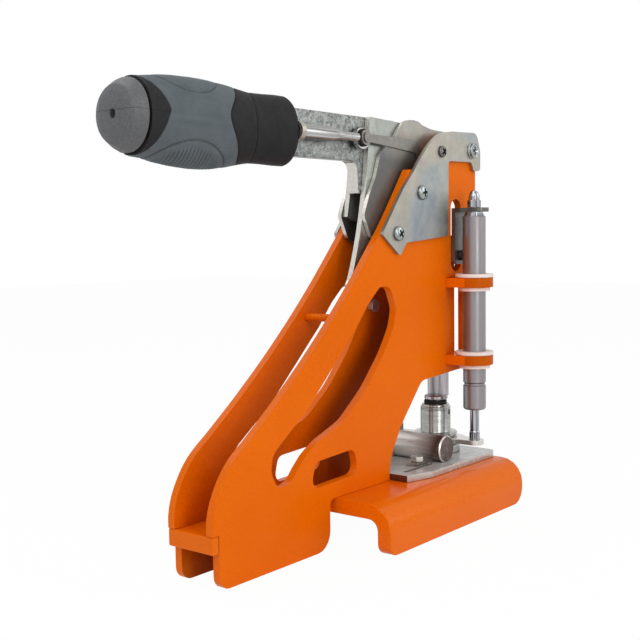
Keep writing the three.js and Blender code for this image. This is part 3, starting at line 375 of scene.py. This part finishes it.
# The model's own slots, and the finishes of single pieces and faces
finishes = {
    "orange_paint": orangePaint("orangePowderCoat", 0.045, 0.2, 0.32),
    "basePaint": orangePaint("glossyPowderCoat", 0.09, 0.12, 0.22),
    "innerPaint": orangePaint("innerPowderCoat", 0.045, 0.2, 0.32, between=True),
    "lugPaint": orangePaint("shadedPowderCoat", 0.045, 0.2, 0.32, 0.4),
    "zinc_plate": zincPlate(),
    "cheekZinc": zincPlate("cheekZinc", (324, 298), 0.6),
    "galvanised_steel": galvanised(),
    "bright_steel": plainSteel("brightSteel", (160, 159, 154), (198, 197, 192), 0.8, 0.24, (1, 1, 0.25)),
    "satin_tube": plainSteel("satinTube", (136, 131, 134), (150, 145, 148), 0.8, 0.36,
                             scale=2500, depth=0.00001),
    "chrome": plainSteel("polishedChrome", (70, 72, 78), (200, 201, 206), 1.0, 0.1, (1, 1, 0.03), 420),
    # lengthwise drawn grain whose near-black to near-white stripes stand in for the rod's reflections:
    # painted reflection
    "drawnRod": plainSteel("drawnRod", (34, 32, 32), (222, 221, 219), 0.95, 0.14,
                           (0.012, 1, 1), 260, 0.00004),
    "greyWeb": plainSteel("greyWeb", (136, 140, 134), (160, 163, 157), 0.7, 0.27, (1, 1, 0.4), 120),
    "bracketSteel": plainSteel("bracketSteel", (84, 81, 79), (120, 117, 113), 0.7, 0.3, (1, 1, 0.3), 180),
    "neckSteel": plainSteel("neckSteel", (98, 92, 96), (204, 199, 202), 0.9, 0.2, (1, 1, 0.03), 260),
    # dark steel for the bracket screws, and painted shade in the cross recesses
    "darkSteel": plainSteel("darkSteel", (50, 45, 43), (78, 72, 69), 0.8, 0.3, (1, 1, 0.4), 140),
    "turnedSteel": plainSteel("turnedSteel", (142, 143, 139), (176, 177, 172), 0.85, 0.2,
                              (0.1, 0.1, 1), 900),
    "greySteel": plainSteel("greySteel", (112, 109, 104), (132, 129, 124), 0.7, 0.3, (1, 0.2, 1), 260),
    "screwHead": plainSteel("screwHead", (128, 136, 138), (172, 178, 177), 1.0, 0.2, scale=400),
    "dullScrew": plainSteel("dullScrew", (88, 86, 82), (122, 120, 114), 1.0, 0.26, scale=400),
    "barSteel": barSteel(),
    # pale steel for whole pieces, and painted highlight on rims and narrow front faces
    "rimSteel": plainSteel("rimSteel", (196, 192, 186), (222, 220, 214), 0.7, 0.2, scale=500),
    "groundPlate": plainSteel("groundPlate", (172, 174, 174), (206, 208, 207), 0.15, 0.24,
                              (0.25, 1, 1), 260, 0.00004, 0.25),
    "platedEdge": plainSteel("platedEdge", (176, 172, 165), (204, 202, 196), 0.7, 0.24),
    # brown for the die plate's end: painted shade
    "shadedEdge": plainSteel("shadedEdge", (86, 60, 48), (116, 86, 70), 0.7, 0.3, scale=200),
    "nylon": mouldedRubber("whiteNylon", (228, 214, 206), (240, 230, 224), 0.5),
    "black_rubber": mouldedRubber("blackRubber", (28, 28, 29), (37, 37, 38), 0.6, 0.14),
}
print("finishes ready:", len(finishes))


# Pieces
slotOf = {part["node"]: part["material_slot"] for part in frame["record"]["subparts"]}
bodyOf = {node: body for body, nodes in frame["record"]["behaviour"]["bodies"].items() for node in nodes}


def bevelSharp(bm, width, segments=2, angle=32):
    limit = math.radians(angle)
    sharp = [edge for edge in bm.edges if len(edge.link_faces) == 2 and edge.calc_face_angle(0) > limit]
    bmesh.ops.bevel(bm, geom=sharp, offset=width, offset_type="OFFSET", segments=segments, profile=0.5,
                    affect="EDGES", clamp_overlap=True, material=-1)


def place(bm, name, nodes, finish=None, smoothAngle=38, weighted=True, others=()):
    mesh = bpy.data.meshes.new(name)
    bm.to_mesh(mesh)
    bm.free()
    mesh.polygons.foreach_set("use_smooth", [True] * len(mesh.polygons))
    mesh.set_sharp_from_angle(angle=math.radians(smoothAngle))
    piece = bpy.data.objects.new(name, mesh)
    bpy.context.scene.collection.objects.link(piece)
    mesh.materials.append(finish or finishes[slotOf[nodes[0]]])
    for other in others:  # for the faces whose material number is not 0
        mesh.materials.append(other)
    if weighted:
        normals = piece.modifiers.new("flatFaces", "WEIGHTED_NORMAL")
        normals.keep_sharp = True
    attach(piece, bodyOf[nodes[0]])
    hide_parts(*nodes)


def meshOf(node):  # a copy of a node's mesh, its points merged
    bm = bmesh.new()
    bm.from_mesh(frame["nodes"][node].data)
    bmesh.ops.remove_doubles(bm, verts=bm.verts, dist=closeBy)
    return bm


def softened(node, width, finish, others=(), pick=None):  # pick gives a face its material number
    bm = meshOf(node)
    if not node.startswith("guide_bush"):  # a ring whose flat sides became one face would fill its bore
        bmesh.ops.dissolve_limit(bm, angle_limit=math.radians(0.8), use_dissolve_boundaries=False,
                                 verts=bm.verts, edges=bm.edges, delimit=set())
    bevelSharp(bm, width)
    if pick:
        for face in bm.faces:
            face.material_index = pick(face.calc_center_median() / mm, face.normal)
    place(bm, node + "Look", [node], finish, others=others)


def spun(profile, steps=96, closed=False):  # profile of (radius, height) in millimetres, round Z
    bm = bmesh.new()
    verts = [bm.verts.new((radius * mm, 0, height * mm)) for radius, height in profile]
    edges = [bm.edges.new(pair) for pair in zip(verts, verts[1:] + (verts[:1] if closed else []))]
    bmesh.ops.spin(bm, geom=verts + edges, cent=(0, 0, 0), axis=(0, 0, 1), angle=2 * math.pi,
                   steps=steps, use_merge=True, use_duplicate=False)
    bmesh.ops.remove_doubles(bm, verts=bm.verts, dist=closeBy)
    bmesh.ops.recalc_face_normals(bm, faces=bm.faces)
    return bm


def moved(bm, x=0.0, y=0.0, z=0.0, turn=None):  # in millimetres; turn is (degrees, axis) and comes first
    if turn:
        degrees, axis = turn
        bmesh.ops.rotate(bm, verts=bm.verts, cent=(0, 0, 0),
                         matrix=Matrix.Rotation(math.radians(degrees), 3, axis))
    bmesh.ops.translate(bm, verts=bm.verts, vec=Vector((x, y, z)) * mm)
    return bm


def added(bm, other):  # other's mesh goes into bm
    mesh = bpy.data.meshes.new("part")
    other.to_mesh(mesh)
    other.free()
    bm.from_mesh(mesh)
    bpy.data.meshes.remove(mesh)


def blockOf(low, high):  # a box between two corners, in millimetres
    bm = bmesh.new()
    bmesh.ops.create_cube(bm, size=1)
    size = Vector(high) - Vector(low)
    bmesh.ops.scale(bm, verts=bm.verts, vec=size * mm)
    return moved(bm, *((Vector(low) + Vector(high)) / 2))


def carved(bm, cutter):  # bm less the cutter's volume
    shapes = []
    for part in (bm, cutter):
        mesh = bpy.data.meshes.new("shape")
        part.to_mesh(mesh)
        part.free()
        shape = bpy.data.objects.new("shape", mesh)
        bpy.context.scene.collection.objects.link(shape)
        shapes.append(shape)
    knife = shapes[0].modifiers.new("knife", "BOOLEAN")
    knife.operation = "DIFFERENCE"
    knife.solver = "EXACT"
    knife.object = shapes[1]
    bpy.context.view_layer.update()
    result = bpy.data.meshes.new_from_object(shapes[0].evaluated_get(bpy.context.evaluated_depsgraph_get()))
    bm = bmesh.new()
    bm.from_mesh(result)
    for shape in shapes:
        mesh = shape.data
        bpy.data.objects.remove(shape)
        bpy.data.meshes.remove(mesh)
    bpy.data.meshes.remove(result)
    return bm


def middle(node):  # centre of a node's box, in millimetres
    low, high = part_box(node)
    return (low + high) / 2 / mm


def height(node):  # lowest and highest point of a node, in millimetres
    low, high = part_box(node)
    return low.z / mm, high.z / mm


def angles(count, last=90):  # angles from 0 to last, in radians
    return [math.radians(last * i / count) for i in range(count + 1)]


# Grip: an oval moulding in bands, whose edges run round it as curves
grip = {
    "end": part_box("grip_cap")[0].x,
    "front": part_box("grip_ferrule")[1].x,
    "axis": (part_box("grip_body")[0].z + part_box("grip_body")[1].z) / 2,
    "half": (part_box("grip_body")[1].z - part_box("grip_body")[0].z) / 2 / 1.008,  # the profile's peak
    "around": 160,
    "profile": [  # distance from the end over the whole length, half height over the grip's
        (0, 0.0), (0.002, 0.3), (0.006, 0.5), (0.016, 0.655), (0.045, 0.775), (0.073, 0.845), (0.095, 0.88),
        (0.13, 0.895), (0.21, 0.957), (0.29, 0.993), (0.4, 1.008), (0.47, 1.0), (0.53, 0.985), (0.605, 0.955),
        (0.68, 0.9), (0.73, 0.868), (0.76, 0.858), (0.84, 0.868), (0.92, 0.89), (0.98, 0.89), (1, 0.85)],
    "flat": [  # half width over half height, by the same distance
        (0, 1), (0.02, 0.98), (0.06, 0.84), (0.11, 0.71), (0.2, 0.66), (0.5, 0.66), (0.75, 0.63), (1, 0.63)],
    "lean": 8,  # degrees that the lines' tips sit above the sides
    "belly": 2.3,
    "bellyAt": (0.46, 0.24),
    "lip": 0.35,  # millimetres that a band's rounded ends sink
    "turnIn": 3,  # and its hidden last rows
    "capJoint": 11,  # millimetres from the end, as are the edges below
    "capBulge": 3.6,
    "capRows": 40,
    "capStart": 0.12,
    "capRim": 0.9,
    "capSinks": (0.3, 0.9, 5),  # how far its last rows turn in
    "holeRadius": 3,
    "holeDepth": 4,
    "holeLip": 0.3,
    "vTip": 33,
    "vRise": 21,
    "vCurves": (1.22, 1.08),  # above and below
    "wave": 85.5,
    "waveStep": 8.5,
    "waveRise": 12,
    "waveWidth": 0.3,
    "thinLine": 114,
    "lineRise": 5,
    "partingLine": 2.4,  # above the axis
    "pads": [  # centre, half length, angle, half angle, rib height
        (58, 28, 90, 53, 0.12),
        (57, 34, -90, 62, 0.85),
    ],
    "padEdge": 0.9,  # share of a pad that its ribs fill
    "padFade": 0.12,
    "padSwell": 0.25,
    "ribPitch": 3.1,
    "grooveDepth": 0.75,
    "grooveWidth": 0.028,
}


def along(table, at):
    for (x0, y0), (x1, y1) in zip(table, table[1:]):
        if at <= x1:
            return y0 + (y1 - y0) * (at - x0) / (x1 - x0)
    return table[-1][1]


def folded(angle):  # 0 near the sides, 1 at the top and the bottom
    side = angle if abs(angle) <= 90 else math.copysign(180, angle) - angle
    return min(abs(side - grip["lean"]) / (90 + math.copysign(grip["lean"], -(side - grip["lean"]))), 1)


def gripPoint(distance, angle, sink=0.0):
    share = distance * mm / (grip["front"] - grip["end"])
    tall = along(grip["profile"], share) * grip["half"] - sink * mm
    wide = along(grip["profile"], share) * grip["half"] * along(grip["flat"], share) - sink * mm
    turn = math.radians(angle)
    centre, reach = grip["bellyAt"]
    if angle < 0:  # fuller underneath
        tall += grip["belly"] * mm * math.exp(-((share - centre) / reach) ** 2) * math.sin(-turn)
    return Vector((grip["end"] + distance * mm, nearSide * max(wide, 0) * math.cos(turn),
                   grip["axis"] + max(tall, 0) * math.sin(turn)))


def padSink(distance, angle):  # how deep the groove round a pad and its ribs lie
    sink = 0
    for centre, reach, turn, halfAngle, ribs in grip["pads"]:
        off = math.hypot((distance - centre) / reach, abs(angle - turn) / halfAngle)
        sink += grip["grooveDepth"] * math.exp(-((off - 1) / grip["grooveWidth"]) ** 2)
        if off < grip["padEdge"]:
            fade = min(1, (grip["padEdge"] - off) / grip["padFade"])
            wave = 0.5 + 0.5 * math.cos(2 * math.pi * distance / grip["ribPitch"])
            sink += ribs * fade * wave - grip["padSwell"] * fade
    return sink


def capEdge(angle):  # where the bands meet, in millimetres from the end
    return grip["capJoint"] + grip["capBulge"] * (1 - folded(angle) ** 2)


def vEdge(angle):
    curve = grip["vCurves"][int(angle < grip["lean"])]
    return grip["vTip"] - grip["vRise"] * folded(angle) ** curve


def waveEdge(angle):
    fold = folded(angle)
    step = 1 - math.exp(-(fold / grip["waveWidth"]) ** 2)
    return grip["wave"] + grip["waveRise"] * fold ** 2 + grip["waveStep"] * step


def lineEdge(angle):
    return grip["thinLine"] + grip["lineRise"] * (1 - math.cos(math.radians(90 * folded(angle))))


def frontEdge(angle):
    return (grip["front"] - grip["end"]) / mm


def gripGrid(rows):
    bm = bmesh.new()
    bmesh.ops.create_grid(bm, x_segments=rows, y_segments=grip["around"], size=0.5)
    return bm


def spots(bm, rows):  # each point of the flat grid, with its row along the grip and its angle round it
    for vert in bm.verts:
        yield vert, round((vert.co.x + 0.5) * rows), 360 * (vert.co.y + 0.5) - 180


def gripShell(bm, name, node, finish, smoothAngle):  # merges the seam, closes the ends and places the shell
    bmesh.ops.remove_doubles(bm, verts=bm.verts, dist=closeBy)
    bmesh.ops.holes_fill(bm, edges=[edge for edge in bm.edges if edge.is_boundary], sides=0)
    bmesh.ops.recalc_face_normals(bm, faces=bm.faces)
    place(bm, name, [node], finish, smoothAngle, weighted=False)


def gripBand(name, node, start, stop, rows, finish, sinkOf=None, lip=grip["lip"]):
    bm = gripGrid(rows)
    deep = bm.verts.layers.float.new("sink")
    for vert, row, angle in spots(bm, rows):
        inner = min(max((row - 1) / (rows - 2), 0), 1)
        first, last = start[0](angle) + start[1], stop[0](angle) + stop[1]
        distance = first + (last - first) * inner
        sink = sinkOf(distance, angle) if sinkOf else 0
        vert[deep] = sink
        if row in (1, rows - 1):
            sink += lip
        if row in (0, rows):
            sink += grip["turnIn"]
        elif row in (2, rows - 2):
            sink += lip * 0.3
        vert.co = gripPoint(distance, angle, sink)
    gripShell(bm, name, node, finish, 60)


def gripCap(finish):
    rows, hole = grip["capRows"], grip["holeRadius"]
    bm = gripGrid(rows)
    for vert, row, angle in spots(bm, rows):
        if row < 3:  # the blind hole in the end
            radius = (0.0, hole, hole)[row] * mm
            depth = (grip["holeDepth"], grip["holeDepth"], grip["holeLip"])[row] * mm
            turn = math.radians(angle)
            vert.co = Vector((grip["end"] + depth, nearSide * radius * math.cos(turn),
                              grip["axis"] + radius * math.sin(turn)))
        else:
            step = min((row - 3) / (rows - 5), 1)
            distance = grip["capStart"] + (capEdge(angle) - grip["capRim"]) * step ** 2
            sink = grip["capSinks"][row - rows + 2] if row >= rows - 2 else 0.0
            vert.co = gripPoint(distance, angle, sink)
    gripShell(bm, "gripCap", "grip_cap", finish, 50)


def linedRubber(name, low, high, roughness, specular):  # rubber with the mould's parting line
    finish = Finish(name)
    speck = finish.noise(1000, 2, 0.6)
    pale = tuple(min(1, part * 1.6) for part in srgb(*high))
    colour = finish.blend(0.5, finish.tint(finish.noise(60, 4, 0.6), tones(low, high)),
                          finish.tint(speck, [(0.35, srgb(*low)), (0.7, pale)]))
    _, _, z = finish.position()
    off = finish.calc("ABSOLUTE", finish.calc("SUBTRACT", z, grip["axis"] + grip["partingLine"] * mm))
    line = finish.span(off, 0.12 * mm, 0.4 * mm, 1, 0)
    finish.colour(finish.blend(finish.calc("MULTIPLY", line, 0.6), colour, srgb(18, 18, 19)))
    finish.rough(finish.noise(300, 2), roughness - 0.06, roughness + 0.08)
    finish.value("Specular IOR Level", specular)
    finish.bump(speck, 0.00008, 0.7)
    return finish.material


def greyWithGrooveShade():  # painted shade in the grooves and between the ribs
    finish = Finish("greyMoulding")
    attribute = finish.nodes.new("ShaderNodeAttribute")
    attribute.attribute_name = "sink"
    base = finish.tint(finish.noise(60, 4, 0.6), tones((76, 83, 87), (88, 95, 99)))
    streaks = finish.noise(260, 2, 0.5, stretch=(0.05, 1, 1))
    base = finish.blend(0.12, base, finish.tint(streaks, tones((70, 78, 82), (120, 130, 134))))
    # painted shade, deeper where the surface sinks further
    dark = finish.span(attribute.outputs["Fac"], 0.25, 0.7, 0, 0.75)
    finish.colour(finish.blend(dark, base, srgb(38, 42, 44)))
    finish.rough(finish.noise(300, 2), 0.55, 0.68)
    finish.value("Specular IOR Level", 0.25)
    finish.bump(finish.noise(1300, 2), 0.00005, 0.6)
    finish.bump(streaks, 0.00004, 0.5)
    return finish.material


def buildGrip():
    black = finishes["black_rubber"]
    collar = linedRubber("collarRubber", (28, 28, 29), (37, 37, 38), 0.6, 0.14)
    gripCap(linedRubber("capRubber", (70, 71, 73), (88, 89, 91), 0.5, 0.5))
    # each band runs from one edge to the next, and the offsets, in millimetres, leave a joint between them
    gripBand("gripCollar", "grip_body", (capEdge, 2.1), (vEdge, -0.25), 24, collar)
    gripBand("gripMoulding", "grip_body", (vEdge, 0.1), (waveEdge, 0), 190, greyWithGrooveShade(), padSink, 0.3)
    gripBand("gripNeck", "grip_body", (waveEdge, 0.4), (lineEdge, -0.25), 30, black)
    gripBand("gripFerrule", "grip_ferrule", (lineEdge, 0.25), (frontEdge, -0.1), 40, black)


buildGrip()
print("grip ready")


# Columns beside the ram: tube, gland, plunger and acorn nut, in millimetres
column = {
    "radius": 9.7, "bore": 7.2, "joint": 106, "top": 248.3, "topWall": 10, "chamfer": 0.7,
    "neckHeight": 3.1, "neck": 8.4, "neckStep": 7.6, "stud": 3,
    "glandRound": 2.2, "groove": 0.9, "sleeve": 6.9, "plungerHole": 4.4, "holeEdge": 0.6,
    "rod": 4, "collar": 6.7, "collarHeight": 6, "foot": 4.5, "footTop": 64,
    "ribs": 14, "ribDepth": 0.6, "ribBottom": 56.8,
    "nutFlats": 10, "nutHex": 6, "nutEdge": 0.35, "domeRadius": 4.7, "domeWall": 2.6, "domeFoot": 0.4,
}


def buildTube(side, x, y):
    c = column
    node = "column_tube_" + side
    radius, start, top, low = c["radius"], c["joint"] + 0.3, c["top"], c["top"] - c["topWall"]
    edge, step, crown = radius - c["chamfer"], top + c["neckHeight"] * 0.55, top + c["neckHeight"]
    end = height(node)[1]
    body = spun([(c["bore"], start), (radius - 0.4, start), (radius, start + 0.5),
                 (radius, top - c["chamfer"]), (edge + 0.3, top - 0.2), (edge, top),
                 (c["neck"], top + 0.1), (c["neck"], step - 0.3), (c["neck"] - 0.3, step),
                 (c["neckStep"], step + 0.05), (c["neckStep"], crown), (c["stud"], crown),
                 (c["stud"], end), (0, end), (0, low), (c["bore"], low)], closed=True)
    for face in body.faces:  # the neck and the stud are bright
        face.material_index = int(face.calc_center_median().z > (top - 0.1) * mm)
    place(moved(body, x, y), "columnTube" + side.title(), [node], others=[finishes["chrome"]])


def buildGland(side, x, y):
    c = column
    node = "column_gland_" + side
    low, high = height(node)
    rim, turn, hole, deep = c["joint"], c["glandRound"], c["plungerHole"], c["radius"] - c["groove"]
    arc = [(c["radius"] - turn + turn * math.sin(a), low + turn - turn * math.cos(a)) for a in angles(6)]
    body = spun([(hole, high), (hole, low + c["holeEdge"]), (hole + c["holeEdge"], low)] + arc +
                [(c["radius"], rim - 2.4), (c["radius"] - 0.3, rim - 2.1), (deep, rim - 1.9),
                 (deep, rim - 0.3), (c["sleeve"], rim - 0.3), (c["sleeve"], high)], closed=True)
    place(moved(body, x, y), "columnGland" + side.title(), [node])


def buildPlunger(side, x, y):
    c = column
    node = "plunger_" + side
    low, high = height(node)
    foot, top, shoulder = c["foot"], c["footTop"], high - c["collarHeight"]
    body = spun([(0, low), (foot, low), (foot, c["ribBottom"]), (foot, c["ribBottom"] + 0.3),
                 (foot, top - 2), (foot, top - 1.6), (foot - 0.4, top - 1.2), (foot, top - 0.8),
                 (foot - 0.2, top), (c["rod"], top + 0.3), (c["rod"], shoulder), (c["collar"], shoulder),
                 (c["collar"], high), (0, high)], steps=120)
    for vert in body.verts:  # ribs round the foot
        if c["ribBottom"] + 0.1 < vert.co.z / mm < top - 1.8:
            turn = c["ribs"] * math.atan2(vert.co.y, vert.co.x)
            wave = 1 - c["ribDepth"] / foot * (0.5 + 0.5 * math.cos(turn))
            vert.co.x *= wave
            vert.co.y *= wave
    place(moved(body, x, y), "plunger" + side.title(), [node])


def buildNut(side, x, y):
    c = column
    node = "acorn_nut_" + side
    low, high = height(node)
    hexTop = low + c["nutHex"]
    corner = c["nutFlats"] / 2 / math.cos(math.pi / 6) * mm
    body = bmesh.new()
    bmesh.ops.create_cone(body, cap_ends=True, segments=6, radius1=corner, radius2=corner,
                          depth=c["nutHex"] * mm)
    moved(body, 0, 0, low + c["nutHex"] / 2, turn=(30, "Z"))
    bevelSharp(body, c["nutEdge"] * mm)
    radius, spring = c["domeRadius"], hexTop + c["domeWall"]
    dome = [(radius * math.cos(a), spring + (high - spring) * math.sin(a)) for a in angles(12)]
    wide = radius + c["domeFoot"]
    added(body, spun([(0, hexTop - 1), (wide, hexTop - 1), (wide, hexTop + 0.5), (radius, hexTop + 0.8)] +
                     dome, steps=64))
    place(moved(body, x, y), "acornNut" + side.title(), [node])


for side in ("near", "far"):
    x, y, _ = middle("column_tube_" + side)
    for build in (buildTube, buildGland, buildPlunger, buildNut):
        build(side, x, y)
print("columns ready")


# Cross-headed screws, in millimetres; the near cover's front one at the top is sunk and dull
panHead = {
    "radius": 6, "height": 3.5, "shank": 2.9, "rim": 0.9, "edge": 0.12,
    "cross": 0.95, "reach": 3.3, "recess": 2.1, "brightShare": 0.3,  # upper part of the recess, which stays out of the painted shade
    "sunk": "cover_screw_near_1", "sunkRadius": 4.9, "sunkBy": 0.8,
}
boltHead = {"edge": 0.5, "recess": 1.68, "bright": 0.3}


def buildScrew(node):
    s = panHead
    low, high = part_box(node)
    x, _, z = middle(node)
    inner, crown = sorted((abs(low.y) / mm, abs(high.y) / mm))
    seat, radius, finish = crown - s["height"], s["radius"], finishes["screwHead"]
    if node == s["sunk"]:
        crown, radius, finish = crown - s["sunkBy"], s["sunkRadius"], finishes["dullScrew"]
    rim = seat + s["rim"]
    curve = [(radius * math.cos(a) ** 0.6, rim + (crown - rim) * math.sin(a)) for a in angles(8, 80)]
    body = spun([(0, inner), (s["shank"], inner), (s["shank"], seat), (radius - 0.2, seat),
                 (radius, seat + 0.3)] + curve + [(0, crown)], steps=64)
    for wide, long in ((s["cross"], s["reach"]), (s["reach"], s["cross"])):
        arm = blockOf((-wide, -long, crown - s["recess"]), (wide, long, crown + s["height"]))
        body = carved(body, moved(arm, turn=(x * 7 % 90, "Z")))  # each screw stopped at its own angle
    bevelSharp(body, s["edge"] * mm, 1, 50)
    # painted shade: the deep part of the cross recess gets the dark steel
    for face in body.faces:
        at = face.calc_center_median() / mm
        deep = seat < at.z < crown - s["brightShare"] * s["recess"]
        face.material_index = int(deep and math.hypot(at.x, at.y) < s["reach"])
    moved(body, turn=(90 if low.y < 0 else -90, "X"))
    moved(body, x, 0, z)
    place(body, node.replace("_", "") + "Look", [node], finish, others=[finishes["darkSteel"]])


def buildBolt(node):  # the model's own bolt, with a cross recess cut in its head
    s = panHead
    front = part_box(node)[0].y / mm
    x, _, z = middle(node)
    bm = meshOf(node)
    bevelSharp(bm, boltHead["edge"] * mm, 3)
    for wide, long in ((s["cross"], s["reach"]), (s["reach"], s["cross"])):
        low, high = (x - wide, front - 1, z - long), (x + wide, front + boltHead["recess"], z + long)
        bm = carved(bm, blockOf(low, high))
    # painted shade: the deep part of the cross recess gets the dark steel
    for face in bm.faces:
        at = face.calc_center_median() / mm
        deep = front + boltHead["bright"] < at.y < front + s["recess"]
        face.material_index = int(deep and math.hypot(at.x - x, at.z - z) < s["reach"])
    name = node.replace("_", "") + "Look"
    place(bm, name, [node], finishes["screwHead"], 30, False, [finishes["darkSteel"]])


for node in frame["nodes"]:
    if node.startswith("cover_screw"):
        buildScrew(node)
buildBolt("pivot_bolt")
print("screws ready")


# Tool holder, with its flange, two turned grooves and the hole of its set screw, in millimetres
holder = {
    "radius": 13.3, "bore": 7.3, "flange": 2.6, "lip": 1.2, "edge": 0.5,
    "rings": [3.2, 4.6], "ringDepth": 0.45, "ringWidth": 0.6,
    "hole": 2.4, "holeHeight": 77.5, "holeTurn": 8, "holeDepth": 2.2, "cutterLength": 10,
}


def buildHolder():
    h = holder
    x, y, _ = middle("tool_holder")
    low, top = height("tool_holder")
    left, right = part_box("tool_holder")
    wide, edge = (right.x - left.x) / 2 / mm, h["edge"]
    radius, shelf, rim = h["radius"], low + h["flange"], top - h["lip"]
    side = [(h["bore"], low), (wide - edge, low), (wide, low + edge), (wide, shelf - edge),
            (wide - edge, shelf), (radius + 1.2, shelf), (radius + 0.4, shelf + 0.3), (radius, shelf + 1)]
    for ring in reversed(h["rings"]):
        at, width = top - ring, h["ringWidth"]
        side += [(radius, at - width), (radius - h["ringDepth"], at - width / 2), (radius, at)]
    narrow = radius - h["lip"]
    side += [(radius, rim - 1.2), (radius - 0.4, rim - 0.9), (narrow, rim - 0.8), (narrow, top - edge),
             (narrow - edge, top), (h["bore"], top)]
    body = moved(spun(side, closed=True), x, y)
    cutter = spun([(0, 0), (h["hole"], 0), (h["hole"], h["cutterLength"]), (0, h["cutterLength"])], steps=40)
    moved(cutter, turn=(90, "X"))
    turn = math.radians(h["holeTurn"])
    out = Vector((math.sin(turn), -math.cos(turn), 0)) * (radius - h["holeDepth"])
    moved(cutter, x + out.x, y + out.y, h["holeHeight"], turn=(h["holeTurn"], "Z"))
    body = carved(body, cutter)
    bevelSharp(body, 0.15 * mm, 2, 40)
    place(body, "toolHolder", ["tool_holder"], finishes["turnedSteel"], 30, False)


buildHolder()
print("tool holder ready")


# Every other node keeps its own form with eased edges. Some have a second finish on the faces that a
# function picks by their middle, in millimetres, and their normal
limits = {"barRim": 32, "betweenPlates": 16, "lugSide": -35, "neckFrom": 118.5, "neckTo": 245}


def barRimHighlight(at, way):  # the rims round the ends of the bar get a brighter steel: painted highlight
    return int(0.15 < abs(way.y) < 0.9 and abs(at.y) > limits["barRim"])


def plateFace(at, way):  # the die plate's bright edge towards the near side, and its end in painted shade
    if abs(way.z) > 0.5:
        return 0
    return 2 if way.x < -0.7 else 1


def frontHighlightFace(at, way):  # the narrow faces towards the grip get a brighter steel: painted highlight
    return int(way.x < -0.55)


def innerFace(at, way):  # the side plates' faces towards each other get painted shade, their narrow edges are glossy
    if abs(way.y) < 0.9:
        return 2
    return int(abs(at.y) < limits["betweenPlates"])


def lugFace(at, way):  # the rounded edges of the lugs beside the plates get a darker copy of the paint: painted shade
    return int(abs(way.z) < 0.5 and at.y < limits["lugSide"])


def ramFace(at, way):  # the block is painted, the neck bright
    return int(limits["neckFrom"] < at.z < limits["neckTo"])


plainEdge = 0.2
looks = {  # by the start of a node's name; edge in millimetres, others are the picked faces' finishes
    "side_plate": {"edge": 0.6, "others": ["innerPaint", "basePaint"], "pick": innerFace},
    "guide_plate": {"edge": 0.5, "others": ["lugPaint"], "pick": lugFace},
    "base_plate": {"edge": 0.9, "finish": "basePaint"},
    "guide_bush": {"edge": 0.4},
    "head_cover": {"edge": 0.35},
    "head_cheek": {"edge": 0.3, "finish": "cheekZinc", "others": ["rimSteel"], "pick": frontHighlightFace},
    "pivot_nut": {"edge": 0.3, "finish": "screwHead"},
    "plate_screw": {"finish": "rimSteel"},
    "lever_arm": {"edge": 0.6, "others": ["rimSteel"], "pick": frontHighlightFace},
    "lever_web": {"edge": 0.4, "finish": "greyWeb", "others": ["rimSteel"], "pick": frontHighlightFace},
    "link_bar": {"finish": "greySteel"},
    "rubber_ring": {"edge": 0.4},
    "rod_collar": {"edge": 0.3},
    "eye_rod": {"edge": 0.5, "finish": "drawnRod"},
    "eye_pin": {"finish": "greySteel"},
    "crank_pin": {"finish": "bright_steel"},
    "ram": {"edge": 0.4, "finish": "neckSteel", "others": ["orange_paint"], "pick": ramFace},
    "column_bracket": {"edge": 0.4, "finish": "bracketSteel"},
    "bracket_screw": {"finish": "darkSteel"},
    "die_plate": {"edge": 0.5, "finish": "groundPlate", "others": ["platedEdge", "shadedEdge"],
                  "pick": plateFace},
    "stop_bar": {"edge": 0.5, "finish": "barSteel", "others": ["rimSteel"], "pick": barRimHighlight},
    "bar_screw": {"finish": "rimSteel"},
    "lower_die": {"edge": 0.4},
    "upper_die": {"edge": 0.3},
    "stripper_plate": {"edge": 0.4, "finish": "rimSteel"},
}
for node, piece in frame["nodes"].items():
    if piece.hide_render or node.startswith("column_spring"):
        continue
    look = next((looks[start] for start in looks if node.startswith(start)), {})
    finish = finishes[look.get("finish", slotOf[node])]
    others = [finishes[other] for other in look.get("others", [])]
    softened(node, look.get("edge", plainEdge) * mm, finish, others, look.get("pick"))
for node in ("column_spring_near", "column_spring_far"):
    frame["nodes"][node].data.materials.clear()
    frame["nodes"][node].data.materials.append(finishes["bright_steel"])
print("metal pieces ready")
